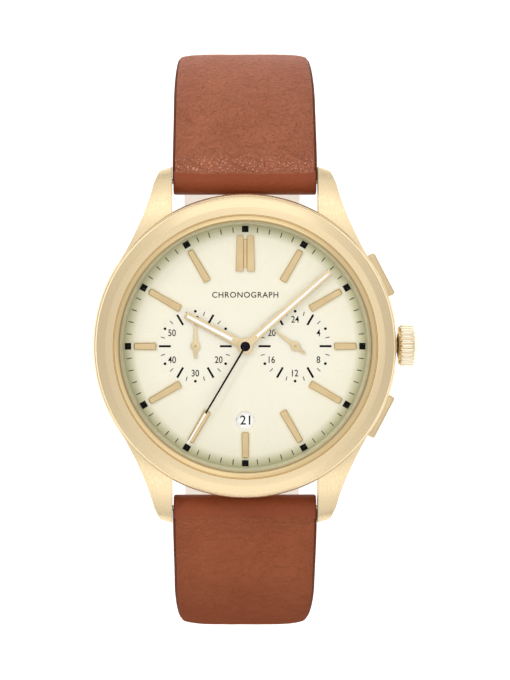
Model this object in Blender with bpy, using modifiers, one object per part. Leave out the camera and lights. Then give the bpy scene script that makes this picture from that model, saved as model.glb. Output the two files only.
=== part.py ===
"""Chronograph wristwatch, lying dial up on its buckled strap.

Every length below is in millimetres and every angle in degrees; the helpers turn them into metres.
The head frame has its origin on the hands' axis at the outer face of the case back:
+Z is the dial's normal, +Y points to 12 o'clock and +X to 3 o'clock.
The empty "watch_head" carries that frame, CASE_LIFT above the surface under the strap.
"""
import math

import bmesh
import bpy
from mathutils import Matrix, Vector

MM = 0.001
WIDE_STEPS = 48                 # sides of the rings as wide as the case
OBJECT = "chronograph_wristwatch"

# ---------------------------------------------------------------- driving dimensions
GAP = 0.03                      # between still pieces that touch on the real watch
RUN = 0.08                      # between pieces that move against each other

CASE_RADIUS = 21.8
CASE_BOTTOM = 0.9
CASE_TOP = 8.0
BORE_RADIUS = 17.2              # the movement's room inside the case
SEAT_RADIUS = 18.7              # wider room above it, for dial and flange
SEAT_LEVEL = 7.15

BEZEL_RADIUS = 21.35
BEZEL_TOP = 10.75
BEZEL_OPENING = 17.92
CRYSTAL_BOTTOM = 9.3
CRYSTAL_TOP = 10.55

DIAL_RADIUS = 18.4
DIAL_TOP = 7.6
DIAL_THICKNESS = 0.4
SUBDIAL_X = 7.13
DATE_Y = -10.6
DATE_WINDOW_RADIUS = 1.33
HOUR_DIRECTION = 297.5          # hands at rest, clockwise from 12
MINUTE_DIRECTION = 48.8
CHRONO_DIRECTION = 210.7
DAY_NIGHT_DIRECTION = 307.0

LUG_GAP = 21.0
LUG_TIP_Y = 25.7
BAR_Y = 23.6
BAR_Z = 2.4
BAR_RADIUS = 0.75
BAR_TIP_RADIUS = 0.4

CROWN_Z = 4.9
CROWN_RADIUS = 3.05
CROWN_INNER_X = 21.9
CROWN_OUTER_X = 24.65
CROWN_FLUTES = 25
PUSHER_ANGLE = 27.5             # from 3 o'clock, towards 12 and towards 6
PUSHER_OUTER = 22.6
PUSHER_THICKNESS = 1.6
PUSHER_LENGTH = 6.6
PUSHER_HEIGHT = 2.7
PUSHER_TRAVEL = 0.8
PUSHER_STEM_RADIUS = 0.7
PUSHER_STEM_END = 16.2          # from the hands' axis

STRAP_WIDTH = 20.7
STRAP_END_WIDTH = 18.0
STRAP_HEADING = 10.0            # the strap leaves its bar this far below the horizontal
SIDE_RADIUS = 21.4              # centre line, from the bar out to the widest point
STRAP_REACH = 41.3              # the centre line's widest point, from the hands' axis
STRAP_EYE_RADIUS = 1.95
KEEPER_WALL = 1.0
TAIL_THICKNESS = 2.0
UPPER_THICKNESS = 2.2
BUCKLE_EYE_RADIUS = 1.4
BUCKLE_BAR_Y = 3.0
BUCKLE_BAR_RADIUS = 0.7
BUCKLE_FAR_Y = -9.9
BUCKLE_FAR_HEIGHT = 1.9
LOWER_LENGTH = 120.0
HOLE_PITCH = 6.5
TANG_HOLE_Y = -2.1              # where the tang passes through the lower strap

# levels under the wrist opening, above the surface that the watch lies on
TAIL_LEVEL = KEEPER_WALL + 0.1 + TAIL_THICKNESS / 2
UPPER_LEVEL = TAIL_LEVEL + TAIL_THICKNESS / 2 + 0.1 + BUCKLE_EYE_RADIUS
LOWER_LEVEL = BUCKLE_FAR_HEIGHT + 0.2 + 2.1 / 2

# the loop's depth follows from its two arcs
BOTTOM_RADIUS = 22.0
SIDE_DROP = SIDE_RADIUS * math.cos(math.radians(STRAP_HEADING))
CASE_LIFT = UPPER_LEVEL + BOTTOM_RADIUS + SIDE_DROP - BAR_Z
AXIS_X = (CASE_RADIUS - CROWN_OUTER_X) / 2

# ---------------------------------------------------------------- colours
GOLD = ((0.80, 0.64, 0.38), 0.28, 1.0)
DARK_GOLD = ((0.70, 0.54, 0.30), 0.22, 1.0)
STEEL = ((0.62, 0.62, 0.63), 0.30, 1.0)
BRASS = ((0.66, 0.52, 0.25), 0.35, 1.0)
CREAM = ((0.86, 0.82, 0.68), 0.45, 0.2)
LEATHER = ((0.34, 0.10, 0.045), 0.55, 0.0)
BLACK = ((0.02, 0.02, 0.02), 0.35, 0.0)
WHITE = ((0.85, 0.85, 0.82), 0.50, 0.0)
RUBBER = ((0.05, 0.05, 0.05), 0.70, 0.0)
NYLON = ((0.80, 0.78, 0.70), 0.45, 0.0)
GREEN = ((0.03, 0.16, 0.07), 0.45, 0.0)
COPPER = ((0.72, 0.30, 0.12), 0.35, 1.0)
GLASS = ((0.92, 0.95, 0.95), 0.03, 0.0)


# ---------------------------------------------------------------- scene and collections
def clear_scene():
    for old in list(bpy.data.objects):
        bpy.data.objects.remove(old, do_unlink=True)


def new_collection(name):
    made = bpy.data.collections.new(name)
    bpy.context.scene.collection.children.link(made)
    return made


clear_scene()
PARTS = new_collection(OBJECT)
CUTTERS = new_collection("cutters")


def empty(name, at=(0, 0, 0), turn_z=0.0, parent=None):
    made = bpy.data.objects.new(name, None)
    made.location = Vector(at) * MM
    made.rotation_euler = (0, 0, math.radians(turn_z))
    made.parent = parent
    PARTS.objects.link(made)
    return made


HEAD = empty("watch_head", (AXIS_X, 0, CASE_LIFT))


def material(name, look):
    colour, roughness, metallic = look
    made = bpy.data.materials.new(name)
    made.use_nodes = True
    shader = made.node_tree.nodes["Principled BSDF"]
    shader.inputs["Base Color"].default_value = (*colour, 1.0)
    shader.inputs["Roughness"].default_value = roughness
    shader.inputs["Metallic"].default_value = metallic
    made.diffuse_color = (*colour, 1.0)
    return made


# ---------------------------------------------------------------- shape helpers
def place(mesh, name, look, at=(0, 0, 0), turn=(0, 0, 0), parent=HEAD):
    """An object of the watch, or a cutter when it has no look."""
    made = bpy.data.objects.new(name, mesh)
    made.location = Vector(at) * MM
    made.rotation_euler = [math.radians(a) for a in turn]
    made.parent = parent
    if look is None:
        CUTTERS.objects.link(made)
        made.hide_render = True
        made.display_type = "WIRE"
        return made
    PARTS.objects.link(made)
    mesh.materials.append(material(name, look))
    mesh.shade_smooth()
    mesh.set_sharp_from_angle(angle=math.radians(32))
    return made


def signed_area(outline):
    pairs = zip(outline, outline[1:] + outline[:1])
    return sum(a[0] * b[1] - b[0] * a[1] for a, b in pairs) / 2


def turned(name, look, profile, steps=48, closed=True, **where):
    """A turned piece: (radius, height) points, revolved about Z.

    A closed profile makes a ring. An open one starts and ends on the axis.
    """
    points = [(r * MM, z * MM) for r, z in profile]
    if signed_area(points) > 0:
        points.reverse()
    mesh = bpy.data.meshes.new(name)
    count = len(points)
    edges = [(i, i + 1) for i in range(count - 1)]
    if closed:
        edges.append((count - 1, 0))
    mesh.from_pydata([(r, 0, z) for r, z in points], edges, [])
    made = place(mesh, name, look, **where)
    screw = made.modifiers.new("turn", "SCREW")
    screw.steps = steps
    screw.render_steps = steps
    screw.use_merge_vertices = True
    screw.merge_threshold = 1e-6
    screw.use_smooth_shade = True
    return made


def pin_profile(steps_rz):
    """The open profile of a solid pin from its outer (radius, height) corners."""
    return [(0, steps_rz[0][1]), *steps_rz, (0, steps_rz[-1][1])]


def prism(name, look, outline, low, high, axis="Z", **where):
    """A flat outline given thickness from low to high along an axis.

    The outline is in (x, y) for Z, in (y, z) for X.
    """
    points = list(outline)
    if signed_area(points) < 0:
        points.reverse()
    shape = bmesh.new()
    if axis == "Z":
        rim = [shape.verts.new((x * MM, y * MM, low * MM)) for x, y in points]
        along = Vector((0, 0, (high - low) * MM))
    else:
        rim = [shape.verts.new((low * MM, y * MM, z * MM)) for y, z in points]
        along = Vector(((high - low) * MM, 0, 0))
    face = shape.faces.new(rim)
    shape.normal_update()
    if face.normal.dot(along) > 0:
        face.normal_flip()
    pulled = bmesh.ops.extrude_face_region(shape, geom=[face], use_keep_orig=True)
    moved = [v for v in pulled["geom"] if isinstance(v, bmesh.types.BMVert)]
    bmesh.ops.translate(shape, verts=moved, vec=along)
    bmesh.ops.recalc_face_normals(shape, faces=shape.faces)
    mesh = bpy.data.meshes.new(name)
    shape.to_mesh(mesh)
    shape.free()
    return place(mesh, name, look, **where)


def box(name, look, low, high, **where):
    outline = [(low[0], low[1]), (high[0], low[1]), (high[0], high[1]), (low[0], high[1])]
    return prism(name, look, outline, low[2], high[2], **where)


def rod(name, look, radius, low, high, axis="Z", steps=16, **where):
    """A plain round rod from low to high along Z, X or Y."""
    shape = bmesh.new()
    middle = Matrix.Translation((0, 0, (low + high) / 2 * MM))
    bmesh.ops.create_cone(
        shape, cap_ends=True, segments=steps, radius1=radius * MM, radius2=radius * MM,
        depth=(high - low) * MM, matrix=middle)
    if axis != "Z":
        to_axis = Matrix.Rotation(math.pi / 2, 4, "Y")
        if axis == "Y":
            to_axis = Matrix.Rotation(-math.pi / 2, 4, "X")
        bmesh.ops.transform(shape, matrix=to_axis, verts=shape.verts)
    mesh = bpy.data.meshes.new(name)
    shape.to_mesh(mesh)
    shape.free()
    return place(mesh, name, look, **where)


def combine(target, tool, how):
    step = target.modifiers.new(how.lower(), "BOOLEAN")
    step.operation = how
    step.solver = "EXACT"
    step.object = tool
    return target


def cut(target, *tools):
    for tool in tools:
        combine(target, tool, "DIFFERENCE")
    return target


def add(target, *tools):
    for tool in tools:
        combine(target, tool, "UNION")
    return target


def soften(target, width, segments=2, angle=30):
    bevel = target.modifiers.new("soft edges", "BEVEL")
    bevel.width = width * MM
    bevel.segments = segments
    bevel.limit_method = "ANGLE"
    bevel.angle_limit = math.radians(angle)
    bevel.use_clamp_overlap = True
    return target


def circle(radius, count, centre=(0, 0), start=0.0, sweep=360.0):
    """Points on a circle, or on an arc with both its ends."""
    full = abs(sweep) >= 360
    last = count if full else count - 1
    angles = [math.radians(start + sweep * i / last) for i in range(count)]
    return [(centre[0] + radius * math.cos(a), centre[1] + radius * math.sin(a)) for a in angles]


def bezier(corners, count):
    """Points along a cubic through its first and last corner."""
    made = []
    for i in range(count):
        t = i / (count - 1)
        s = 1 - t
        weights = (s ** 3, 3 * s * s * t, 3 * s * t * t, t ** 3)
        made.append(tuple(sum(w * c[k] for w, c in zip(weights, corners)) for k in (0, 1)))
    return made


# ---------------------------------------------------------------- case
def lug_tool(sign_x, sign_y):
    """One lug: its plan outline, trimmed by its side outline."""
    inner = LUG_GAP / 2
    outer_edge = bezier([(19.4, 9.26), (16.6, 14.4), (14.2, 18.6), (13.1, 23.3)], 6)
    plan = [(inner, 9.26), *outer_edge, (12.3, 25.1), (inner, LUG_TIP_Y)]
    side = [(9.0, 7.9), (14.0, 7.9), (18.0, 7.35), (21.5, 6.2), (24.4, 4.5), (25.4, 3.4),
            (25.75, 2.2), (25.6, 0.9), (24.9, 0.35), (21.0, 0.75), (17.0, 1.3), (9.0, 1.5)]
    name = f"lug_{'right' if sign_x > 0 else 'left'}_{'12h' if sign_y > 0 else '6h'}"
    lug = prism(name, None, [(sign_x * x, sign_y * y) for x, y in plan], -1, 9)
    low, high = sorted((sign_x * 10, sign_x * 20))
    profile = prism(f"{name}_side", None, [(sign_y * y, z) for y, z in side], low, high, axis="X")
    combine(lug, profile, "INTERSECT")
    return soften(lug, 0.35, segments=1, angle=35)


def make_case_middle():
    profile = [
        (SEAT_RADIUS, CASE_TOP), (21.1, CASE_TOP), (21.6, 7.7), (CASE_RADIUS, 7.0),
        (CASE_RADIUS, 4.6), (21.4, 2.9), (20.7, 1.5), (20.0, CASE_BOTTOM), (18.8, CASE_BOTTOM),
        (18.8, 1.9),
        (17.95, 1.9), (17.95, 2.5), (BORE_RADIUS, 2.5), (BORE_RADIUS, SEAT_LEVEL),
        (SEAT_RADIUS, SEAT_LEVEL)]
    case = turned("case_middle", GOLD, profile, steps=WIDE_STEPS)
    for sign_x in (1, -1):
        for sign_y in (1, -1):
            lug = lug_tool(sign_x, sign_y)
            clear = rod(f"{lug.name}_clear", None, 19.6, -2, 10, steps=WIDE_STEPS)
            cut(lug, clear)
            add(case, lug)
    for sign_x in (1, -1):
        for sign_y in (1, -1):
            low, high = sorted((sign_x * 10, sign_x * 11.6))
            name = f"bar_hole_{sign_x}_{sign_y}"
            hole = rod(name, None, BAR_TIP_RADIUS + 0.05, low, high, axis="X", steps=12,
                       at=(0, sign_y * BAR_Y, BAR_Z))
            cut(case, hole)
    cut(case, box("crown_flat", None, (21.2, -3.3, 1.2), (23, 3.3, 7.6)))
    cut(case, rod("tube_hole", None, 1.1 + GAP, 16, 23, axis="X", steps=20, at=(0, 0, CROWN_Z)))
    for sign in (1, -1):
        holder = empty(f"pusher_room_{'2h' if sign > 0 else '4h'}", turn_z=sign * PUSHER_ANGLE,
                       parent=HEAD)
        side = PUSHER_LENGTH / 2 + RUN
        half = PUSHER_HEIGHT / 2 + RUN
        floor = PUSHER_OUTER - PUSHER_THICKNESS - PUSHER_TRAVEL - 0.1
        pocket = box(f"{holder.name}_pocket", None, (floor, -side, -half), (24, side, half),
                     at=(0, 0, CROWN_Z), parent=holder)
        well = rod(f"{holder.name}_well", None, 1.3, 18.5, 21, axis="X", steps=20,
                   at=(0, 0, CROWN_Z), parent=holder)
        bore = rod(f"{holder.name}_bore", None, PUSHER_STEM_RADIUS + 0.05, 16, 21, axis="X",
                   steps=20, at=(0, 0, CROWN_Z), parent=holder)
        cut(case, pocket, well, bore)
    return case


def make_bezel():
    profile = [
        (BEZEL_OPENING, CRYSTAL_BOTTOM + GAP), (BEZEL_OPENING, 10.25), (18.45, BEZEL_TOP),
        (19.6, 10.66), (21.15, 10.05), (BEZEL_RADIUS, 9.7), (BEZEL_RADIUS, 8.45),
        (21.05, CASE_TOP + GAP), (SEAT_RADIUS, CASE_TOP + GAP),
        (SEAT_RADIUS, CRYSTAL_BOTTOM + GAP)]
    return turned("bezel", GOLD, profile, steps=WIDE_STEPS)


def make_crystal():
    radius = 17.7
    corners = [(radius - 0.15, CRYSTAL_TOP), (radius, CRYSTAL_TOP - 0.15),
               (radius, CRYSTAL_BOTTOM + GAP)]
    turned("crystal", GLASS, pin_profile(corners), steps=WIDE_STEPS, closed=False)
    gasket = [(17.73, 10.25), (17.89, 10.25), (17.89, CRYSTAL_BOTTOM + GAP),
              (17.73, CRYSTAL_BOTTOM + GAP)]
    turned("crystal_gasket", NYLON, gasket, steps=WIDE_STEPS)


def make_dial_flange():
    profile = [(17.35, DIAL_TOP + GAP), (17.62, CRYSTAL_BOTTOM - 0.05), (18.6, CRYSTAL_BOTTOM - 0.05),
               (18.6, DIAL_TOP + GAP)]
    turned("dial_flange", GOLD, profile, steps=WIDE_STEPS)


def make_case_back():
    profile = [(0, 1.6), (16.2, 1.6), (16.2, 2.8), (17.1, 2.8), (17.1, 1.85), (18.7, 1.85),
               (18.7, 0.8), (18.2, 0.35), (16.2, 0.25), (15.6, 0), (0, 0)]
    turned("case_back", STEEL, profile, steps=WIDE_STEPS, closed=False)
    gasket = [(17.24, 2.45), (17.9, 2.45), (17.9, 1.88), (17.24, 1.88)]
    turned("case_back_gasket", RUBBER, gasket, steps=WIDE_STEPS)


# ---------------------------------------------------------------- dial side
def make_dial():
    low = DIAL_TOP - DIAL_THICKNESS
    disc = [(DIAL_RADIUS, DIAL_TOP), (DIAL_RADIUS, low)]
    dial = turned("dial", CREAM, pin_profile(disc), steps=WIDE_STEPS, closed=False)
    cut(dial, rod("dial_centre_hole", None, 0.85, 6, 9, steps=20))
    for side in (-1, 1):
        cut(dial, rod(f"dial_hole_{side}", None, 0.3, 6, 9, steps=12, at=(side * SUBDIAL_X, 0, 0)))
    cut(dial, rod("date_window", None, DATE_WINDOW_RADIUS, 6, 9, steps=32, at=(0, DATE_Y, 0)))
    return dial


def index_bar(hour, inner, outer, width_in, width_out):
    """One applied bar, bevelled along its top, set along the hour's direction."""
    foot = DIAL_TOP + 0.02
    outline = [(-width_in / 2, inner), (width_in / 2, inner), (width_out / 2, outer),
               (-width_out / 2, outer)]
    bar = prism(f"index_{hour:02d}", GOLD, outline, foot, foot + 0.36, turn=(0, 0, -30 * hour))
    return soften(bar, 0.12, segments=1)


def make_indices():
    for hour in range(1, 13):
        if hour in (3, 9):
            index_bar(hour, 12.7, 15.9, 1.05, 0.95)
        elif hour == 6:
            index_bar(hour, 12.3, 16.0, 1.05, 0.95)
        elif hour == 12:
            double_index()
        else:
            index_bar(hour, 10.7, 15.8, 1.1, 0.9)


def double_index():
    """The marker at 12: two bars on one low foot."""
    foot = DIAL_TOP + 0.02
    outline = [(-1.35, 10.7), (-0.25, 10.7), (-0.25, 11.2), (0.25, 11.2), (0.25, 10.7), (1.35, 10.7),
               (1.2, 15.8), (0.25, 15.8), (0.25, 15.3), (-0.25, 15.3), (-0.25, 15.8), (-1.2, 15.8)]
    marker = prism("index_12", GOLD, outline, foot, foot + 0.36)
    groove = box("index_12_groove", None, (-0.25, 10, foot + 0.12), (0.25, 16.5, 9))
    cut(marker, groove)
    return soften(marker, 0.1, segments=1)


def hand(name, look, direction, outline, low, high, hole, hub, at=(0, 0), steps=24):
    """A flat hand with a round hub and an arbor hole, pointing along its direction."""
    blade = prism(name, look, outline, low, high, at=(*at, 0), turn=(0, 0, -direction))
    boss = rod(f"{name}_hub", None, hub, low - 0.01, high + 0.02, steps=steps, at=(*at, 0))
    bore = rod(f"{name}_bore", None, hole, low - 1, high + 1, steps=16, at=(*at, 0))
    add(blade, boss)
    return cut(blade, bore)


def make_hands():
    hand("hour_hand", GOLD, HOUR_DIRECTION,
         [(-0.62, 0.3), (-0.5, 9.65), (0.5, 9.65), (0.62, 0.3)], 7.98, 8.12, 0.78, 1.15)
    hand("minute_hand", GOLD, MINUTE_DIRECTION,
         [(-0.56, 0.3), (-0.42, 16.15), (0.42, 16.15), (0.56, 0.3)], 8.28, 8.42, 0.48, 1.05)
    hand("chrono_seconds_hand", BLACK, CHRONO_DIRECTION,
         [(-0.14, 0.3), (-0.11, 16.1), (0.11, 16.1), (0.14, 0.3)], 8.58, 8.70, 0.25, 0.7)
    leaf = [(-0.15, -1.75), (-0.26, -1.1), (-0.2, -0.4), (-0.3, 0.4), (-0.1, 3.75), (0.1, 3.75),
            (0.3, 0.4), (0.2, -0.4), (0.26, -1.1), (0.15, -1.75)]
    hand("chrono_minutes_hand", GOLD, 0.0, leaf, 7.74, 7.84, 0.22, 0.68, at=(-SUBDIAL_X, 0))
    hand("day_night_hand", GOLD, DAY_NIGHT_DIRECTION, leaf, 7.74, 7.84, 0.22, 0.68,
         at=(SUBDIAL_X, 0))


def make_date_disc():
    """A printed ring with 31 inner teeth, one for each day."""
    teeth = 31
    outer, inner, tip = 13.0, 9.15, 8.75
    ring = turned("date_disc", WHITE, [(inner, 6.95), (outer, 6.95), (outer, 6.72), (inner, 6.72)],
                  steps=teeth)
    half = 0.3
    for i in range(teeth):
        tooth = prism(f"date_tooth_{i}", None,
                      [(-half, inner + 0.2), (half, inner + 0.2), (half * 0.5, tip), (-half * 0.5, tip)],
                      6.76, 6.91, turn=(0, 0, 360 * (i + 0.5) / teeth))
        add(ring, tooth)
    return ring


# ---------------------------------------------------------------- wheels
def gear_outline(teeth, module, phase=0.0):
    """Trapezoid teeth, narrower than the gaps so that they run free."""
    pitch = teeth * module / 2
    root, tip = pitch - 1.2 * module, pitch + 0.8 * module
    step = 360 / teeth
    made = []
    for i in range(teeth):
        for radius, share in ((root, -0.29), (tip, -0.11), (tip, 0.11), (root, 0.29)):
            a = math.radians(phase + step * (i + share))
            made.append((radius * math.cos(a), radius * math.sin(a)))
    return made


def wheel(name, look, teeth, module, low, high, phase=0.0, at=(0, 0)):
    return prism(name, look, gear_outline(teeth, module, phase), low, high, at=(*at, 0))


BATTERY_AT = (-7.6, -4.6)
MINUTE_MODULE = 0.15
HOUR_MODULE = 0.12
MOTION_CENTRES = 2.4            # cannon pinion to minute wheel


def make_motion_works():
    """Centre wheel with its cannon pinion, minute wheel and hour wheel: 1 to 3, then 1 to 4."""
    centre = wheel("centre_wheel", BRASS, 20, 0.2, 5.2, 5.4)
    add(centre, rod("cannon_tube", None, 0.45, 5.3, 8.44, steps=16))
    add(centre, wheel("cannon_pinion", None, 8, MINUTE_MODULE, 6.05, 6.35, phase=90))
    cut(centre, rod("cannon_bore", None, 0.27, 5, 9, steps=12))

    at = (0, MOTION_CENTRES)
    minute = wheel("minute_wheel", BRASS, 24, MINUTE_MODULE, 6.08, 6.32, phase=270 + 7.5, at=at)
    add(minute, rod("minute_wheel_post", None, 0.3, 6.2, 6.6, at=(*at, 0), steps=12))
    pinion = wheel("minute_pinion", None, 8, HOUR_MODULE, 6.5, 6.85, phase=270 + 22.5, at=at)
    add(minute, pinion)

    hour = wheel("hour_wheel", BRASS, 32, HOUR_MODULE, 6.55, 6.82, phase=90)
    add(hour, rod("hour_tube", None, 0.75, 6.6, 8.14, steps=16))
    cut(hour, rod("hour_bore", None, 0.53, 6, 9, steps=16))


def make_counter_wheels():
    seconds = wheel("chrono_seconds_wheel", BRASS, 18, 0.2, 4.75, 4.95)
    add(seconds, rod("seconds_arbor", None, 0.2, 4.5, 8.72, steps=12))
    for name, side in (("chrono_minutes_wheel", -1), ("day_night_wheel", 1)):
        at = (side * SUBDIAL_X, 0)
        counter = wheel(name, BRASS, 16, 0.2, 6.2, 6.45, at=at)
        add(counter, rod(f"{name}_arbor", None, 0.17, 6.05, 7.86, at=(*at, 0), steps=12))


# ---------------------------------------------------------------- movement
def make_movement_plates():
    plate_profile = [(14.1, 7.1), (15.3, 7.1), (15.3, 5.5), (0.62, 5.5), (0.62, 6.0), (9.25, 6.0),
                     (9.25, 6.6), (14.1, 6.6)]
    plate = turned("main_plate", BRASS, plate_profile, steps=40)
    cut(plate, box("stem_slot", None, (7.4, -1.0, 5.0), (16, 1.0, 5.85)))
    bridge_outline = [(-6.5, 5.5), (-3.0, 8.5), (3.0, 8.5), (5.5, 5.0), (5.5, -2.5), (2.0, -4.5),
                      (-1.5, -4.2), (-3.0, 0.6), (-6.5, 1.2)]
    bridge = prism("train_bridge", STEEL, bridge_outline, 3.85, 4.3)
    soften(bridge, 0.15, segments=1)
    cut(bridge, rod("bridge_jewel_hole", None, 0.3, 3, 5, steps=12))

    holder_profile = [(15.4, 7.05), (17.1, 7.05), (17.1, 3.0), (15.4, 3.0)]
    holder = turned("movement_holder", WHITE, holder_profile, steps=WIDE_STEPS)
    cut(holder, rod("holder_stem_hole", None, 0.75, 14, 18, axis="X", at=(0, 0, CROWN_Z)))
    for sign in (1, -1):
        cut(holder, rod(f"holder_pusher_hole_{sign}", None, 0.85, 14, 18, axis="X",
                        at=(0, 0, CROWN_Z), turn=(0, 0, sign * PUSHER_ANGLE)))


def make_electrics():
    outline = [*circle(14.6, 18, start=100, sweep=160), (-2.5, -10.5), (9.5, -9.5), (9.5, -6.4),
               (3.0, -5.2), (-3.8, -5.2), (-7.2, -1.0), (-7.2, 6.0), (-3.5, 9.2)]
    board = prism("circuit_board", GREEN, outline, 3.35, 3.6)
    cut(board, rod("battery_hole", None, 4.9, 3, 4, steps=32, at=(*BATTERY_AT, 0)))
    # the sealed quartz crystal is soldered to the board and belongs to it
    add(board, box("quartz_can", None, (-12.6, 1.8, 3.5), (-10.8, 7.2, 4.9)))

    battery = [(4.4, 3.0), (4.75, 3.2), (4.75, 5.2), (4.6, 5.35)]
    turned("battery", STEEL, pin_profile(battery), steps=32, closed=False, at=(*BATTERY_AT, 0))
    clamp = box("battery_clamp", STEEL, (-5.6, -1.0, 2.62), (5.6, 1.0, 2.9), at=(*BATTERY_AT, 0))
    add(clamp, box("clamp_post", None, (4.9, -0.7, 2.7), (5.5, 0.7, 3.3), at=(*BATTERY_AT, 0)))

    spool = [(0.88, 4.6), (0.88, 4.1), (0.7, 4.1), (0.7, -4.1), (0.88, -4.1), (0.88, -4.6)]
    turned("coil", COPPER, pin_profile(spool), steps=16, closed=False, at=(8.0, -8.6, 4.55),
           turn=(0, 90, 25))
    stator = prism("stator", STEEL, [(-1.8, -11.6), (1.2, -12.4), (2.6, -9.0), (-0.6, -8.0)], 4.9, 5.3)
    cut(stator, rod("rotor_hole", None, 0.95, 4, 6, steps=20, at=(0.4, -10.2, 0)))
    rotor = [(0.2, 5.45), (0.2, 5.2), (0.8, 5.2), (0.8, 4.9), (0.35, 4.9), (0.35, 4.5), (0.15, 4.5),
             (0.15, 4.2)]
    turned("rotor", STEEL, pin_profile(rotor), steps=16, closed=False, at=(0.4, -10.2, 0))


# ---------------------------------------------------------------- crown, stem and pushers
def make_crown():
    """Fluted crown, hollow where it slides over its tube."""
    shape = []
    step = 360 / CROWN_FLUTES
    for i in range(CROWN_FLUTES):
        for radius, share in ((CROWN_RADIUS, 0.0), (CROWN_RADIUS, 0.4), (CROWN_RADIUS - 0.22, 0.7)):
            a = math.radians(step * (i + share))
            shape.append((radius * math.cos(a), radius * math.sin(a)))
    depth = CROWN_OUTER_X - CROWN_INNER_X
    at = (CROWN_INNER_X, 0, CROWN_Z)
    crown = prism("crown", GOLD, shape, 0, depth, at=at, turn=(0, 90, 0))
    outer = [(2.35, depth + 0.1), (2.35, depth), (CROWN_RADIUS + 0.1, depth - 0.5),
             (CROWN_RADIUS + 0.1, 0.5), (2.55, -0.01), (2.55, -0.1)]
    rims = turned("crown_rims", None, pin_profile(outer), steps=40, closed=False, at=at,
                  turn=(0, 90, 0))
    combine(crown, rims, "INTERSECT")
    cut(crown, rod("crown_hollow", None, 1.75, -1, 1.6, at=at, turn=(0, 90, 0), steps=20))
    cut(crown, rod("crown_stem_socket", None, 0.48, 1, 2.3, at=at, turn=(0, 90, 0), steps=12))

    ring = [(1.2, 1.0), (1.7, 1.0), (1.7, 0.6), (1.2, 0.6)]
    turned("crown_gasket", RUBBER, ring, steps=20, at=at, turn=(0, 90, 0))

    tube = [(0.6, 23.3), (1.1, 23.3), (1.1, 17.3), (0.6, 17.3)]
    turned("crown_tube", DARK_GOLD, tube, steps=20, at=(0, 0, CROWN_Z), turn=(0, 90, 0))

    stem = [(0.3, 8.2), (0.3, 11.0), (0.45, 11.05), (0.45, 12.4), (0.25, 12.4), (0.25, 13.2),
            (0.45, 13.2), (0.45, 24.0)]
    turned("winding_stem", STEEL, pin_profile(stem), steps=16, closed=False, at=(0, 0, CROWN_Z),
           turn=(0, 90, 0))
    clutch = prism("setting_pinion", STEEL, gear_outline(10, 0.13), 8.6, 10.2, at=(0, 0, CROWN_Z),
                   turn=(0, 90, 0))
    cut(clutch, rod("clutch_bore", None, 0.34, 8, 11, steps=12, at=(0, 0, CROWN_Z), turn=(0, 90, 0)))


def make_setting_lever():
    """It pivots on its post and its fork rides beside the stem's groove."""
    outline = [(-0.7, -0.6), (0.7, -0.6), (0.9, 0.4), (0.6, 1.6), (0.15, 2.4), (-0.35, 2.4),
               (-0.2, 1.4), (-0.8, 0.5)]
    lever = prism("setting_lever", STEEL, outline, -0.15, 0.15, at=(12.6, -3.4, 4.0))
    soften(lever, 0.08, segments=1)


def make_pusher(sign):
    tag = "2h" if sign > 0 else "4h"
    frame = empty(f"pusher_axis_{tag}", turn_z=sign * PUSHER_ANGLE, parent=HEAD)
    at = (PUSHER_OUTER, 0, CROWN_Z)
    half_length, half_height = PUSHER_LENGTH / 2, PUSHER_HEIGHT / 2
    cap = box(f"pusher_{tag}", GOLD, (-PUSHER_THICKNESS, -half_length, -half_height),
              (0, half_length, half_height), at=at, parent=frame)
    soften(cap, 0.32, segments=2)
    stem = rod(f"pusher_stem_{tag}", None, PUSHER_STEM_RADIUS, PUSHER_STEM_END - PUSHER_OUTER, -0.8, axis="X",
               steps=16, at=at, parent=frame)
    add(cap, stem)
    coil_spring(f"pusher_spring_{tag}", 1.05, 0.13, 18.7, PUSHER_OUTER - PUSHER_THICKNESS - 0.06, frame)


def coil_spring(name, radius, wire, start, end, frame, turns=3, per_turn=8):
    """A wire coil about the pusher's axis, made a mesh so that its ends are closed."""
    curve = bpy.data.curves.new(name, "CURVE")
    curve.dimensions = "3D"
    curve.bevel_depth = wire * MM
    curve.bevel_resolution = 1
    curve.use_fill_caps = True
    line = curve.splines.new("POLY")
    count = int(turns * per_turn) + 1
    line.points.add(count - 1)
    low, high = start + wire, end - wire
    for i, point in enumerate(line.points):
        a = 2 * math.pi * i / per_turn
        x = low + (high - low) * i / (count - 1)
        point.co = (x * MM, radius * math.cos(a) * MM, radius * math.sin(a) * MM, 1)
    guide = bpy.data.objects.new(f"{name}_wire", curve)
    CUTTERS.objects.link(guide)
    bpy.context.view_layer.update()
    mesh = bpy.data.meshes.new_from_object(guide.evaluated_get(bpy.context.evaluated_depsgraph_get()))
    bpy.data.objects.remove(guide)
    shape = bmesh.new()
    shape.from_mesh(mesh)
    bmesh.ops.remove_doubles(shape, verts=shape.verts, dist=1e-7)
    bmesh.ops.recalc_face_normals(shape, faces=shape.faces)
    shape.to_mesh(mesh)
    shape.free()
    return place(mesh, name, STEEL, at=(0, 0, CROWN_Z), parent=frame)


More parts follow.
